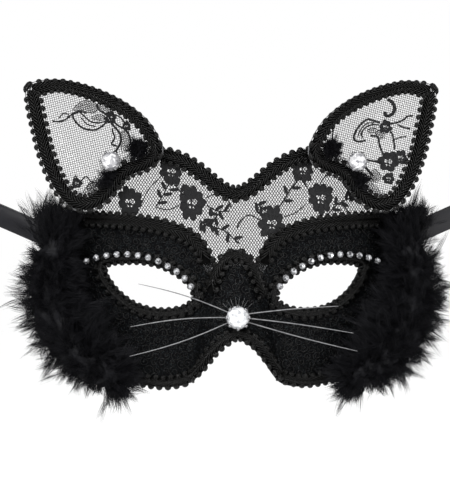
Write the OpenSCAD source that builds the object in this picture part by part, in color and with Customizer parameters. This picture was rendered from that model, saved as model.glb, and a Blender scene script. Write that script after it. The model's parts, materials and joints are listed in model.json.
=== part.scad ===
// Cat half-mask with a lace crown and lace ears, worn over the eyes and tied at the temples.
// Millimetres. +Z is up, the mask faces -Y, and -X is on the left of someone who looks at its front.
// The origin is where the lining meets the bridge of the wearer's nose.

/* [Face curve] */
// Radius of the lining's back face, which follows the wearer's face
face_r = 95; // [92:1:98]
// Thickness of the felt lining
lining_t = 0.6; // [0.5:0.1:0.8]
// Thickness of the moulded shell
shell_t = 1.4; // [1.2:0.1:1.6]
// Thickness of the glitter fabric that covers the shell
cover_t = 0.5; // [0.4:0.1:0.6]

/* [Trim] */
// Width of the gimp braid on the crown and the brow
braid_w = 8; // [7.6:0.2:8.2]
// Thickness of the gimp braid
braid_t = 2; // [1.6:0.2:2.2]
// Width of the braid along the lower edge
narrow_braid_w = 6; // [5.5:0.1:6]
// Width of the braid around the eyes
eye_braid_w = 5; // [4.5:0.1:5]
// Width of the braid over the nose
arch_braid_w = 4.8; // [4.4:0.1:4.8]
// Thickness of the clear film behind the lace
film_t = 0.4; // [0.3:0.1:0.5]
// Thickness of the lace
lace_t = 0.3; // [0.2:0.1:0.3]

/* [Stones and whiskers] */
// Stones in the row over each eye
stone_count = 12; // [8:1:13]
// Diameter of each small stone
stone_d = 2.6; // [2:0.2:2.8]
// Diameter of the stone on the nose
nose_stone_d = 9; // [8:0.5:10]
// Diameter of a whisker
whisker_d = 0.6; // [0.5:0.1:0.8]

/* [Ties] */
// Width of the satin ribbon
ribbon_w = 9.5; // [8:0.5:10]
// Thickness of the satin ribbon
ribbon_t = 0.5; // [0.4:0.1:0.6]

/* [Hidden] */
$fn = 64;
wide_fn = 240;             // sides of the wide cylinders that the face and the ears are bent to

// Radii of the layers, from the back to the front.
shell_r = face_r + lining_t;
cover_r = shell_r + shell_t;
front_r = cover_r + cover_t;
film_r = front_r + film_t;
lace_r = film_r + lace_t;

// ---- curves ----

// One span of a Catmull-Rom curve between b and c.
function span(a, b, c, d, t) = 0.5 * (2 * b + (c - a) * t + (2 * a - 5 * b + 4 * c - d) * t * t
    + (3 * b - a - 3 * c + d) * t * t * t);

// A closed curve through the points, with n steps a span.
function closed_curve(p, n = 4) = let (m = len(p))
    [for (i = [0 : m - 1], k = [0 : n - 1])
        span(p[(i + m - 1) % m], p[i], p[(i + 1) % m], p[(i + 2) % m], k / n)];

// An open curve through the points, with n steps a span.
function open_curve(p, n = 4) = let (m = len(p) - 1)
    concat([for (i = [0 : m - 1], k = [0 : n - 1])
        span(i == 0 ? 2 * p[0] - p[1] : p[i - 1], p[i], p[i + 1],
             i + 2 > m ? 2 * p[m] - p[m - 1] : p[i + 2], k / n)], [p[m]]);

// The mirror image of a half outline, in reverse order, joined to it. The two ends lie on x = 0.
function whole(half) = concat(half, [for (i = [len(half) - 2 : -1 : 1]) [-half[i][0], half[i][1]]]);

// Unit normal of a flat curve at point i.
function side_of(p, i, closed) = let (m = len(p),
        a = p[closed ? (i + m - 1) % m : max(i - 1, 0)], b = p[closed ? (i + 1) % m : min(i + 1, m - 1)])
    [b[1] - a[1], a[0] - b[0]] / norm(b - a);

// The curve moved sideways by d.
function moved(p, d, closed = false) = [for (i = [0 : len(p) - 1]) p[i] + d * side_of(p, i, closed)];

// The outline of a strip of width w along an open curve.
function strip(p, w) = let (a = moved(p, w / 2), b = moved(p, -w / 2))
    concat(a, [for (i = [len(b) - 1 : -1 : 0]) b[i]]);

// The point at share s of an open curve's length.
function lengths(p, i = 0, sum = 0) = i >= len(p) - 1 ? [sum]
    : concat([sum], lengths(p, i + 1, sum + norm(p[i + 1] - p[i])));
function along(p, s) = let (l = lengths(p), want = s * l[len(l) - 1],
        i = max([for (k = [0 : len(p) - 2]) l[k] <= want ? k : 0]))
    p[i] + (p[i + 1] - p[i]) * (want - l[i]) / (l[i + 1] - l[i]);

// ---- outlines and lines of the mask's half at +X, as (x, z) in the front view ----

shell_half = [[0, 14.5], [4.5, 13], [8, 7.5], [11.5, 14.5], [15.5, 20.5], [22, 24], [29, 26.5], [37, 28],
    [46, 29], [56, 30.2], [66, 30.5], [72, 28], [75.5, 20], [76.5, 7], [75, -8], [70, -21], [61, -32],
    [49, -39], [37, -41.5], [29, -42.5], [23, -42], [19, -40.5], [15.5, -37], [12, -32], [8.5, -27.5],
    [4.5, -24], [0, -22]];
eye_points = [[54.8, 8.2], [50, 9], [44, 9.5], [38, 9.3], [32, 8], [26, 5.3], [21.5, 2.2], [18.5, -1.4],
    [17, -5], [19, -7.8], [24, -9.8], [30, -10.5], [36, -9.8], [41.5, -8], [46.5, -4.6], [50.3, -0.8],
    [53.3, 4]];
crown_half = [[0, 41], [4.5, 42.6], [9.5, 46.6], [15, 51.2], [21, 54.8], [28, 57.4], [35, 58], [43, 56],
    [52, 51], [60, 44.5], [66, 37], [67, 30], [62, 26], [52, 25], [42, 24], [32, 22.3], [24, 19.8],
    [18, 15.5], [14, 9], [10.5, 4], [7.5, 4], [4.5, 7], [0, 8.5]];
brow_line = [[13.4, 10], [16, 14.6], [20, 18.6], [26, 21.4], [33, 23.4], [41, 24.8], [50, 25.8], [62, 26.6]];
nose_arch_line = [[9.2, -2], [8.4, 2.6], [6.8, 7.6], [3.9, 11.6], [0, 13]];
crown_line = [[0, 38.2], [4.5, 39.4], [9.8, 43.2], [15.5, 48], [22, 52], [29, 54.4], [36, 55]];
lower_line = [[0, -20], [5.6, -22.2], [10.2, -26.4], [13.8, -31.2], [17.2, -35.6], [20.6, -38.3],
    [25, -39.6], [31, -40.2], [39, -39.2], [48, -37]];
ear_points = [[87, 84.5], [86.8, 76], [84.6, 66], [82.2, 56], [78.5, 46], [74, 38], [69, 33], [63, 31.4],
    [57, 33], [52.5, 36.5], [49, 41], [45.5, 45.4], [40, 47.4], [34, 50], [31, 55.4], [32.6, 61.4],
    [37.6, 69], [45.8, 75.8], [55.4, 81], [66, 84.8], [77, 86.6]];
ear_opening_points = [[83.4, 80.4], [75.9, 80.2], [66.7, 78], [58, 75.2], [49.4, 71.8], [43.3, 67.6],
    [38.6, 61.6], [39.6, 57.4], [43.8, 56.4], [48.3, 52.4], [55.6, 45.2], [64.4, 38.8], [69.6, 43.6],
    [73, 50.4], [75.6, 57.6], [77.2, 64.2], [79, 70], [81.8, 75.6]];

shell_outline = closed_curve(whole(shell_half));
eye_outline = closed_curve(eye_points);
crown_outline = closed_curve(whole(crown_half));
ear_outline = closed_curve(ear_points);
ear_opening = closed_curve(ear_opening_points);

// ---- the face curve ----

nose_top = [0, 6.5, 22];   // centre of the nose cone's narrow end
nose_tilt = 7.5;           // lean of the cone's axis out of the vertical, in degrees
nose_h = 54;
nose_r = [5.5, 15];        // radius at the narrow and the wide end

// A wide upright cylinder, taller than the mask.
module wide_cylinder(r) {
    translate([0, 0, -60]) cylinder(h = 180, r = r, $fn = wide_fn);
}

// A wide upright tube: what lies between two radii.
module wide_tube(r1, r2) {
    difference() {
        wide_cylinder(r2);
        translate([0, 0, -61]) cylinder(h = 182, r = r1, $fn = wide_fn);
    }
}

// A solid filled out to radius r, with the nose standing out of it.
module face_solid(r) {
    grow = r - face_r;
    translate([0, face_r, 0]) wide_cylinder(r);
    translate(nose_top) rotate([180 - nose_tilt, 0, 0])
        translate([0, 0, -1]) cylinder(h = nose_h + 2, r1 = nose_r[0] + grow, r2 = nose_r[1] + grow);
}

// The outline drawn out along Y, from its back end forward.
module prism(outline, back = 70, long = 110) {
    translate([0, back, 0]) rotate([90, 0, 0]) linear_extrude(long) polygon(outline);
}

// What lies between two radii, inside an outline.
module layer(outline, r1, r2) {
    intersection() {
        prism(outline);
        difference() {
            face_solid(r2);
            face_solid(r1);
        }
    }
}

// A layer that stays clear of the nose.
module side_layer(outline, r1, r2) {
    intersection() {
        prism(outline);
        translate([0, face_r, 0]) wide_tube(r1, r2);
    }
}

// Places a child that is made for the +X side: side is 1 for it and -1 for its mirror image.
module on_side(side) {
    mirror([side < 0 ? 1 : 0, 0, 0]) children();
}

module eye_holes() {
    for (side = [-1, 1]) on_side(side) prism(eye_outline);
}

// ---- mask body ----

module face_lining() {
    color([0.05, 0.05, 0.055]) difference() {
        layer(shell_outline, face_r, shell_r);
        eye_holes();
    }
}

module mask_shell() {
    color([0.03, 0.03, 0.03]) difference() {
        layer(shell_outline, shell_r, cover_r);
        eye_holes();
    }
}

module cover_fabric() {
    color([0.02, 0.02, 0.022]) difference() {
        layer(shell_outline, cover_r, front_r);
        eye_holes();
    }
}

// ---- lace crown ----

module crown_film() {
    color([0.85, 0.87, 0.9, 0.3]) layer(crown_outline, front_r, film_r);
}

module crown_lace() {
    color([0.06, 0.06, 0.065]) layer(crown_outline, film_r, lace_r);
}

module crown_braid() {
    half = open_curve(crown_line);
    line = concat([for (i = [len(half) - 1 : -1 : 1]) [-half[i][0], half[i][1]]], half);
    color([0.02, 0.02, 0.02]) side_layer(strip(line, braid_w), lace_r, lace_r + braid_t);
}

module brow_braid(side) {
    color([0.02, 0.02, 0.02]) on_side(side)
        side_layer(strip(open_curve(brow_line), braid_w), lace_r, lace_r + braid_t);
}

// ---- braid on the mask ----

module nose_arch_braid() {
    half = open_curve(nose_arch_line);
    line = concat(half, [for (i = [len(half) - 2 : -1 : 0]) [-half[i][0], half[i][1]]]);
    color([0.02, 0.02, 0.02]) layer(strip(line, arch_braid_w), lace_r, lace_r + braid_t);
}

module lower_braid() {
    half = open_curve(lower_line);
    line = concat([for (i = [len(half) - 1 : -1 : 1]) [-half[i][0], half[i][1]]], half);
    color([0.02, 0.02, 0.02]) layer(strip(line, narrow_braid_w), front_r, front_r + braid_t);
}

module eye_braid(side) {
    color([0.02, 0.02, 0.02]) on_side(side) difference() {
        side_layer(moved(eye_outline, eye_braid_w, true), front_r, front_r + braid_t);
        prism(moved(eye_outline, 0.2, true));
    }
}

// ---- stones over the eyes ----

stone_line = open_curve([[64, 9.2], [58, 11.4], [52, 12.6], [46, 12.9], [40, 12.4], [34, 10.8], [28.6, 8.2],
    [23.6, 5], [19.6, 1.2], [17.6, -2.6]]);
cup_h = 0.8;
stone_h = 1.4;

// Places a child at every stone of a row, with its Z along the face's outward normal.
module at_stones(side) {
    on_side(side) for (i = [0 : stone_count - 1]) {
        p = along(stone_line, (i + 0.5) / stone_count);
        turn = asin(p[0] / front_r);
        r = front_r + braid_t;
        translate([r * sin(turn), face_r - r * cos(turn), p[1]]) rotate([0, 0, turn]) rotate([90, 0, 0])
            children();
    }
}

module stone_cups(side) {
    color([0.55, 0.55, 0.57]) at_stones(side) cylinder(h = cup_h, d = stone_d + 0.4, $fn = 24);
}

module stones(side) {
    color([0.92, 0.94, 0.96]) at_stones(side) translate([0, 0, cup_h])
        cylinder(h = stone_h, d1 = stone_d, d2 = stone_d * 0.55, $fn = 24);
}

// ---- nose stone and whiskers ----

hub_z = -13.2;             // height of the nose stone
hub_y = -12.6;             // front of the nose there
hub_h = 2.4;
hub_d = 6.4;
nose_cup_h = 1.4;
post = [2.6, 3, 3.6];       // block between the hub and the stone's cup, which holds the whiskers' roots
root_y = hub_y - hub_h - 0.8;  // upper and lower whiskers
mid_root_y = root_y - 1.2;  // middle whiskers, in front of the others
nose_cup_y = hub_y - hub_h - post[1];

// A round piece on the nose with its Z pointing forward, starting at y.
module on_nose(y) {
    translate([0, y, hub_z]) rotate([90, 0, 0]) children();
}

module whisker_hub() {
    color([0.05, 0.05, 0.05]) union() {
        difference() {
            on_nose(hub_y + 6) cylinder(h = hub_h + 6, d = hub_d);
            face_solid(front_r);
        }
        translate([-post[0] / 2, nose_cup_y, hub_z - post[2] / 2]) cube(post);
    }
}

module nose_stone_cup() {
    color([0.6, 0.6, 0.62]) on_nose(nose_cup_y) cylinder(h = nose_cup_h, d = nose_stone_d);
}

module nose_stone() {
    color([0.93, 0.95, 0.97]) on_nose(nose_cup_y - nose_cup_h) union() {
        cylinder(h = 1.4, d1 = nose_stone_d - 0.4, d2 = nose_stone_d - 1.2);
        translate([0, 0, 1.4]) cylinder(h = 1.6, d1 = nose_stone_d - 1.2, d2 = nose_stone_d * 0.5);
    }
}

// Short fine bristles that stick out round the stone, in the gap behind its cup.
bristle_turns = [52, 78, 104, 130, 232, 256, 284, 308];
bristle_l = [7.4, 3.6];    // above the stone and below it, where the braid stands out
module whisker_bristles() {
    color([0.75, 0.75, 0.75]) for (turn = bristle_turns)
        translate([0, (root_y + mid_root_y) / 2, hub_z]) rotate([0, 90 - turn, 0])
            translate([0, 0, 1]) cylinder(h = bristle_l[turn < 180 ? 0 : 1], r = 0.16, $fn = 16);
}

// Angle above the horizontal of each whisker: upper, middle, lower.
whisker_turns_left = [18, -5, -19];
whisker_turns_right = [5, -8, -15];
whisker_lengths_left = [41.5, 43, 45.5];
whisker_lengths_right = [40.5, 47, 50];
root_x = post[0] / 2 + 0.22;
root_step = 1.1;           // between the heights of neighbouring roots

// A whisker on one side; place is 0 for the upper one, 1 for the middle one and 2 for the lower one.
module whisker(side, place) {
    turn = (side < 0 ? whisker_turns_left : whisker_turns_right)[place];
    long = (side < 0 ? whisker_lengths_left : whisker_lengths_right)[place];
    color([0.8, 0.8, 0.8]) on_side(side)
        translate([root_x, place == 1 ? mid_root_y : root_y, hub_z + (1 - place) * root_step])
            rotate([0, 90 - turn, 0]) cylinder(h = long, d = whisker_d, $fn = 24);
}

// ---- ears ----

ear_base = [54, 8, 38];    // the foot of the ear's middle line
ear_tip = [87, 20, 84];    // its upper end
ear_r = 80;                // radius of the cup that the ear is bent to
ear_yaw = 12;              // how far the cup turns outward, in degrees
ear_back = 45;             // y behind everything on the ear
ear_depth = 75;            // from there to in front of it
ear_step = ear_tip - ear_base;
ear_lean = atan2(ear_step[0], ear_step[2]);
ear_pitch = atan2(ear_step[1], norm([ear_step[0], ear_step[2]]));

// A frame at the ear's foot: Z along its middle line, -Y to the front.
module ear_frame() {
    translate(ear_base) rotate([0, ear_lean, 0]) rotate([-ear_pitch, 0, 0]) rotate([0, 0, ear_yaw]) children();
}

// What lies between two radii of the ear's cup, inside an outline. Larger is further back.
module ear_layer(outline, r1, r2) {
    intersection() {
        prism(outline, ear_back, ear_depth);
        ear_frame() translate([0, -ear_r, 0]) wide_tube(r1, r2);
    }
}

module ear_film(side) {
    color([0.85, 0.87, 0.9, 0.3]) on_side(side)
        ear_layer(moved(ear_outline, -0.6, true), ear_r, ear_r + film_t);
}

module ear_lace(side) {
    color([0.06, 0.06, 0.065]) on_side(side) ear_layer(ear_outline, ear_r - lace_t, ear_r);
}

module ear_braid(side) {
    front = ear_r - lace_t;
    color([0.02, 0.02, 0.02]) on_side(side) difference() {
        ear_layer(ear_outline, front - braid_t, front);
        prism(ear_opening, ear_back, ear_depth);
    }
}

// Glue pad between the crown and the back of the ear's fold.
pad_at = [50.5, 44.5];
pad_d = 9;
module ear_pad(side) {
    color([0.06, 0.06, 0.06]) on_side(side) difference() {
        translate([pad_at[0], 20, pad_at[1]]) rotate([90, 0, 0]) cylinder(h = 30, d = pad_d);
        translate([0, face_r, 0]) wide_cylinder(lace_r);
        ear_frame() translate([0, -ear_r, 0]) wide_cylinder(ear_r + film_t);
    }
}

// A stone on the ear's fold, with a soft tuft behind it.
ear_stone_at = [52, 52];
ear_stone_d = 7.6;
ear_stone_y = 3.1;
module on_ear(y) {
    translate([ear_stone_at[0], y, ear_stone_at[1]]) rotate([90, 0, 0]) children();
}

module ear_stone_cup(side) {
    color([0.6, 0.6, 0.62]) on_side(side) on_ear(ear_stone_y) cylinder(h = 1, d = ear_stone_d);
}

module ear_stone(side) {
    color([0.93, 0.94, 0.95]) on_side(side) on_ear(ear_stone_y - 1) union() {
        cylinder(h = 1.2, d1 = ear_stone_d - 0.4, d2 = ear_stone_d - 1);
        translate([0, 0, 1.2]) cylinder(h = 1.6, d1 = ear_stone_d - 1, d2 = ear_stone_d * 0.5);
    }
}

// Everything behind the front of the ear's braid.
module behind_ear_braid() {
    ear_frame() translate([0, -ear_r, 0]) wide_tube(ear_r - lace_t - braid_t, ear_r + 40);
}

module ear_tuft(side) {
    color([0.03, 0.03, 0.035]) on_side(side) difference() {
        on_ear(ear_stone_y + 5) cylinder(h = 5, d = ear_stone_d + 4);
        behind_ear_braid();
    }
}

// A velvety ball of down in the corner between the ear's two hems.
ear_ball_at = [40.6, 57.2];
ear_ball_d = 8;
ear_ball_y = -5.6;         // its front
ear_ball_l = 12;
module ear_ball(side) {
    color([0.02, 0.02, 0.02]) on_side(side) difference() {
        translate([ear_ball_at[0], ear_ball_y + ear_ball_l, ear_ball_at[1]]) rotate([90, 0, 0])
            cylinder(h = ear_ball_l, d = ear_ball_d);
        behind_ear_braid();
    }
}

// ---- marabou boas ----

// Centre of the boa as (x, z, radius), from its upper end to its lower one. It lies on the mask's outer edge.
boa_points = [[73, 22, 7], [76, 14, 11], [78, 4, 13.5], [77.5, -8, 14.5], [73, -20, 14.5], [65, -30, 13],
    [55, -37, 10.5], [47, -40.5, 7]];
boa_gap = 0.8;             // between the boa and the braid
core_d = 2.4;              // the cord that the feathers are strung on

boa_curve = open_curve(boa_points, 3);

// Centre in 3D of each ring: far enough in front of the mask for its radius.
boa_spots = [for (p = boa_curve) let (r = front_r + braid_t + boa_gap + p[2])
    [p[0], face_r - sqrt(r * r - p[0] * p[0]), p[1]]];

// Rings of n points about the spots, square to the path, with a radius at each.
function rings(spots, radii, n) = [for (i = [0 : len(spots) - 1])
    let (step = spots[min(i + 1, len(spots) - 1)] - spots[max(i - 1, 0)], f = step / norm(step),
         s = cross(f, [0, 1, 0]), u = s / norm(s), v = cross(u, f), k = 360 / n)
        each [for (j = [0 : n - 1]) spots[i] + radii[i] * (cos(k * j) * u + sin(k * j) * v)]];

// The two triangles between neighbouring rings a and b of n points, for side j.
function wall(a, b, j, n) = let (q = (j + 1) % n)
    [[a * n + j, b * n + j, a * n + q], [b * n + j, b * n + q, a * n + q]];

// A solid tube along the boa's path.
module boa_core(side) {
    n = 8;
    m = len(boa_spots);
    points = rings(boa_spots, [for (p = boa_curve) core_d / 2], n);
    walls = [for (i = [0 : m - 2], j = [0 : n - 1]) each wall(i, i + 1, j, n)];
    color([0.1, 0.1, 0.1]) on_side(side) polyhedron(points = points, faces = concat(walls,
        [[for (j = [0 : n - 1]) j]], [[for (j = [n - 1 : -1 : 0]) (m - 1) * n + j]]));
}

// The feathers' body, with a bore along it for the cord: outer rings first, then the bore's.
module boa(side) {
    n = 16;
    m = len(boa_spots);
    points = concat(rings(boa_spots, [for (p = boa_curve) p[2]], n),
                    rings(boa_spots, [for (p = boa_curve) core_d / 2 + 0.2], n));
    outside = [for (i = [0 : m - 2], j = [0 : n - 1]) each wall(i, i + 1, j, n)];
    bore = [for (i = [0 : m - 2], j = [0 : n - 1]) each wall(m + i + 1, m + i, j, n)];
    ends = [for (j = [0 : n - 1]) each concat(wall(m, 0, j, n), wall(m - 1, 2 * m - 1, j, n))];
    color([0.03, 0.03, 0.035]) on_side(side)
        polyhedron(points = points, faces = concat(outside, bore, ends));
}

// ---- ribbon ties ----

// Middle of the ribbon from the patch behind the temple out to the knot.
ribbon_route = [[74.6, 38.2, 18.8], [79, 42.4, 20.8], [85, 44.4, 23.4], [96, 45, 28.2], [108, 45.4, 33.4],
    [120, 45.7, 38.6], [130, 46, 43]];
knot_at = [130, 46, 43];
slope = 23.6;              // of the ribbon above the horizontal, in the front view

// The eight corners of the ribbon's section at p, square to the direction t.
function flat_ring(p, t) = let (f = t / norm(t), w = [-sin(slope), 0, cos(slope)],
        across = (w - (w * f) * f) / norm(w - (w * f) * f), out = cross(f, across),
        a = ribbon_w / 2, b = a - 0.3, c = ribbon_t / 2, d = c - 0.15)
    [for (q = [[a, d], [b, c], [-b, c], [-a, d], [-a, -d], [-b, -c], [b, -c], [a, -d]])
        p + across * q[0] + out * q[1]];

module ribbon(side) {
    n = 8;
    spots = open_curve(ribbon_route, 3);
    m = len(spots);
    points = [for (i = [0 : m - 1]) each flat_ring(spots[i], spots[min(i + 1, m - 1)] - spots[max(i - 1, 0)])];
    walls = [for (i = [0 : m - 2], j = [0 : n - 1]) each wall(i, i + 1, j, n)];
    color([0.03, 0.03, 0.04]) on_side(side) polyhedron(points = points, faces = concat(walls,
        [[for (j = [0 : n - 1]) j]], [[for (j = [n - 1 : -1 : 0]) (m - 1) * n + j]]));
}

patch_t = 0.8;
module ribbon_patch(side) {
    color([0.06, 0.06, 0.065]) on_side(side)
        side_layer([[61, 10], [73.4, 14], [73.4, 25], [61, 21]], face_r - patch_t, face_r);
}

// A frame at the knot, with X along the ribbon, away from the mask, and Z across it.
module at_knot(side) {
    on_side(side) translate(knot_at) rotate([0, -slope, 0]) children();
}

knot_l = 8;
module tie_knot(side) {
    color([0.03, 0.03, 0.04]) at_knot(side) rotate([0, 90, 0]) hull() {
        for (z = [-1.6, 1.6]) translate([z, 0, -knot_l / 2]) cylinder(h = knot_l, d = 6.6, $fn = 24);
    }
}

// A flat loop of the ribbon beyond the knot.
loop_r = 4;
loop_l = 12;
module loop_prism(r, h, start = 0) {
    translate([knot_l / 2, 0, -h / 2]) union() {
        translate([loop_l, 0, 0]) cylinder(h = h, r = r, $fn = 48);
        translate([start, -r, 0]) cube([loop_l - start, 2 * r, h]);
    }
}

module tie_loop(side) {
    color([0.03, 0.03, 0.04]) at_knot(side) difference() {
        loop_prism(loop_r, ribbon_w);
        loop_prism(loop_r - ribbon_t, ribbon_w + 2, ribbon_t);
    }
}

face_lining();
mask_shell();
cover_fabric();
crown_film();
crown_lace();
crown_braid();
brow_braid(-1);  // brow_braid_left
brow_braid(1);  // brow_braid_right
nose_arch_braid();
lower_braid();
eye_braid(-1);  // eye_braid_left
eye_braid(1);  // eye_braid_right
stone_cups(-1);  // stone_cups_left
stone_cups(1);  // stone_cups_right
stones(-1);  // stones_left
stones(1);  // stones_right
nose_stone();
nose_stone_cup();
whisker_hub();
whisker_bristles();
whisker(-1, 0);  // whisker_left_upper
whisker(-1, 1);  // whisker_left_middle
whisker(-1, 2);  // whisker_left_lower
whisker(1, 0);  // whisker_right_upper
whisker(1, 1);  // whisker_right_middle
whisker(1, 2);  // whisker_right_lower
ear_film(-1);  // ear_film_left
ear_film(1);  // ear_film_right
ear_lace(-1);  // ear_lace_left
ear_lace(1);  // ear_lace_right
ear_braid(-1);  // ear_braid_left
ear_braid(1);  // ear_braid_right
ear_pad(-1);  // ear_pad_left
ear_pad(1);  // ear_pad_right
ear_stone_cup(-1);  // ear_stone_cup_left
ear_stone_cup(1);  // ear_stone_cup_right
ear_stone(-1);  // ear_stone_left
ear_stone(1);  // ear_stone_right
ear_tuft(-1);  // ear_tuft_left
ear_tuft(1);  // ear_tuft_right
ear_ball(-1);  // ear_ball_left
ear_ball(1);  // ear_ball_right
boa(-1);  // boa_left
boa(1);  // boa_right
boa_core(-1);  // boa_core_left
boa_core(1);  // boa_core_right
ribbon(-1);  // ribbon_left
ribbon(1);  // ribbon_right
ribbon_patch(-1);  // ribbon_patch_left
ribbon_patch(1);  // ribbon_patch_right
tie_knot(-1);  // tie_knot_left
tie_knot(1);  // tie_knot_right
tie_loop(-1);  // tie_loop_left
tie_loop(1);  // tie_loop_right
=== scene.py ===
"""Looks of a cat half-mask: lace crown and ears, gimp braid, stones, whiskers, marabou cheeks, ribbon ties.

Shapes are worked out in millimetres in the frame's axes (+Z up, the mask faces -Y) and put into meshes in
metres. An outline is a list of (x, z) points in the front view, for the +X side; the other side mirrors it.
"""

import json
import math

import bpy
import numpy as np
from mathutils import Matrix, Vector, geometry


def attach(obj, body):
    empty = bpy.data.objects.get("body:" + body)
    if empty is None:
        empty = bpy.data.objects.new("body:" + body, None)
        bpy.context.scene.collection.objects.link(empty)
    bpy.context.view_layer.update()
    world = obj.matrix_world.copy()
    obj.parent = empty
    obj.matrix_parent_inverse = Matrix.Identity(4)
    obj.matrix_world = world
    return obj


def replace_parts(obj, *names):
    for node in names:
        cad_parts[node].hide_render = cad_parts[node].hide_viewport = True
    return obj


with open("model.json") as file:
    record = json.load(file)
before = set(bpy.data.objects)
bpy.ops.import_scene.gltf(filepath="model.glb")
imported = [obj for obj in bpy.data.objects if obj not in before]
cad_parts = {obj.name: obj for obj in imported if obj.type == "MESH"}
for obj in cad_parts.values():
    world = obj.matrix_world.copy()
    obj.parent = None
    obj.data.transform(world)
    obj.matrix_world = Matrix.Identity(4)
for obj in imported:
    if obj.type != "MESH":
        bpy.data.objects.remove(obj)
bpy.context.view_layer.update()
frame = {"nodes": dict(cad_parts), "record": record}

MM = 0.001
BODY = "mask"
SIDES = {"left": -1, "right": 1}
ROW = 0.87                       # distance between the rows of a triangular grid, as a share of its step
rng = np.random.default_rng(7)

# ---- sizes that part.scad gives, in millimetres ----

FACE_R = 95.0
LINING_T, SHELL_T, COVER_T = 0.6, 1.4, 0.5
SHELL = LINING_T + SHELL_T
FRONT = SHELL + COVER_T          # lift of the cover's front face above the lining's back
FILM_T, LACE_T, BRAID_T = 0.4, 0.3, 2.0
LACE = FRONT + FILM_T + LACE_T
NOSE_TOP = np.array([0.0, 6.5, 22.0])
NOSE_TILT = math.radians(7.5)
NOSE_R, NOSE_GROW = 5.5, 9.5 / 56
HALF_W = 76.5                    # half the width of the mask itself
EAR_BASE = np.array([54.0, 8.0, 38.0])
EAR_TIP = np.array([87.0, 20.0, 84.0])
EAR_R = 80.0
EAR_YAW = math.radians(12)
HUB_Z = -13.2
ROOT_Y, MID_ROOT_Y, NOSE_CUP_Y = -15.8, -17.0, -18.0
ROOT_X, ROOT_STEP = 1.52, 1.1
NOSE_STONE_D, EAR_STONE_D = 9.0, 7.6
EAR_STONE = np.array([52.0, 3.1, 52.0])
STONE_COUNT, STONE_D, CUP_H = 12, 2.6, 0.8
RIBBON_W, RIBBON_T = 9.5, 0.5
KNOT = np.array([130.0, 46.0, 43.0])
RIBBON_SLOPE = math.radians(23.6)

SHELL_HALF = [(0, 14.5), (4.5, 13), (8, 7.5), (11.5, 14.5), (15.5, 20.5), (22, 24), (29, 26.5), (37, 28),
              (46, 29), (56, 30.2), (66, 30.5), (72, 28), (75.5, 20), (76.5, 7), (75, -8), (70, -21),
              (61, -32), (49, -39), (37, -41.5), (29, -42.5), (23, -42), (19, -40.5), (15.5, -37),
              (12, -32), (8.5, -27.5), (4.5, -24), (0, -22)]
EYE = [(54.8, 8.2), (50, 9), (44, 9.5), (38, 9.3), (32, 8), (26, 5.3), (21.5, 2.2), (18.5, -1.4), (17, -5),
       (19, -7.8), (24, -9.8), (30, -10.5), (36, -9.8), (41.5, -8), (46.5, -4.6), (50.3, -0.8), (53.3, 4)]
CROWN_HALF = [(0, 41), (4.5, 42.6), (9.5, 46.6), (15, 51.2), (21, 54.8), (28, 57.4), (35, 58), (43, 56),
              (52, 51), (60, 44.5), (66, 37), (67, 30), (62, 26), (52, 25), (42, 24), (32, 22.3),
              (24, 19.8), (18, 15.5), (14, 9), (10.5, 4), (7.5, 4), (4.5, 7), (0, 8.5)]
BROW_LINE = [(11.4, 8), (12.4, 11), (15, 15.9), (19.2, 20), (25.4, 22.9), (32.6, 25), (40.8, 26.4),
             (50, 27.3), (62, 28)]
ARCH_LINE = [(11.2, -4.6), (9.7, -0.6), (8.4, 3.4), (6.4, 7.6), (3.6, 11), (0, 12.4)]
CROWN_LINE = [(0, 38.2), (4.5, 39.4), (9.8, 43.2), (15.5, 48), (22, 52), (29, 54.4), (36, 55)]
LOWER_LINE = [(0, -20), (5.6, -22.2), (10.2, -26.4), (13.8, -31.2), (17.2, -35.6), (20.6, -38.3),
              (25, -39.6), (31, -40.2), (39, -39.2), (48, -37)]
EAR = [(87, 84.5), (86.8, 76), (84.6, 66), (82.2, 56), (78.5, 46), (74, 38), (69, 33), (63, 31.4), (57, 33),
       (52.5, 36.5), (49, 41), (45.5, 45.4), (40, 47.4), (34, 50), (31, 55.4), (32.6, 61.4), (37.6, 69),
       (45.8, 75.8), (55.4, 81), (66, 84.8), (77, 86.6)]
EAR_CORNER, EAR_LOBE = np.array(EAR[0]), np.array(EAR[9])
STONE_LINE = [(64, 9.2), (58, 11.4), (52, 12.6), (46, 12.9), (40, 12.4), (34, 10.8), (28.6, 8.2), (23.6, 5),
              (19.6, 1.2), (17.6, -2.6)]
# the boa's middle line, with its radius at each point: (x, z, radius)
BOA = [(73, 22, 7), (76, 14, 11), (78, 4, 13.5), (77.5, -8, 14.5), (73, -20, 14.5), (65, -30, 13),
       (55, -37, 10.5), (47, -40.5, 7)]
RIBBON_ROUTE = [(74.6, 38.2, 18.8), (79, 42.4, 20.8), (85, 44.4, 23.4), (96, 45, 28.2), (108, 45.4, 33.4),
                (120, 45.7, 38.6), (130, 46, 43)]
# angle above the horizontal and length of each whisker: upper, middle, lower
WHISKERS = {"left": ((18, 41.5), (-5, 43.0), (-19, 45.5)), "right": ((5, 40.5), (-8, 47.0), (-15, 50.0))}
WHISKER_D = 0.7


# ---- curves ----

def unit(v):
    """Vectors brought to length 1."""
    return v / np.maximum(np.linalg.norm(v, axis=-1, keepdims=True), 1e-9)


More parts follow.
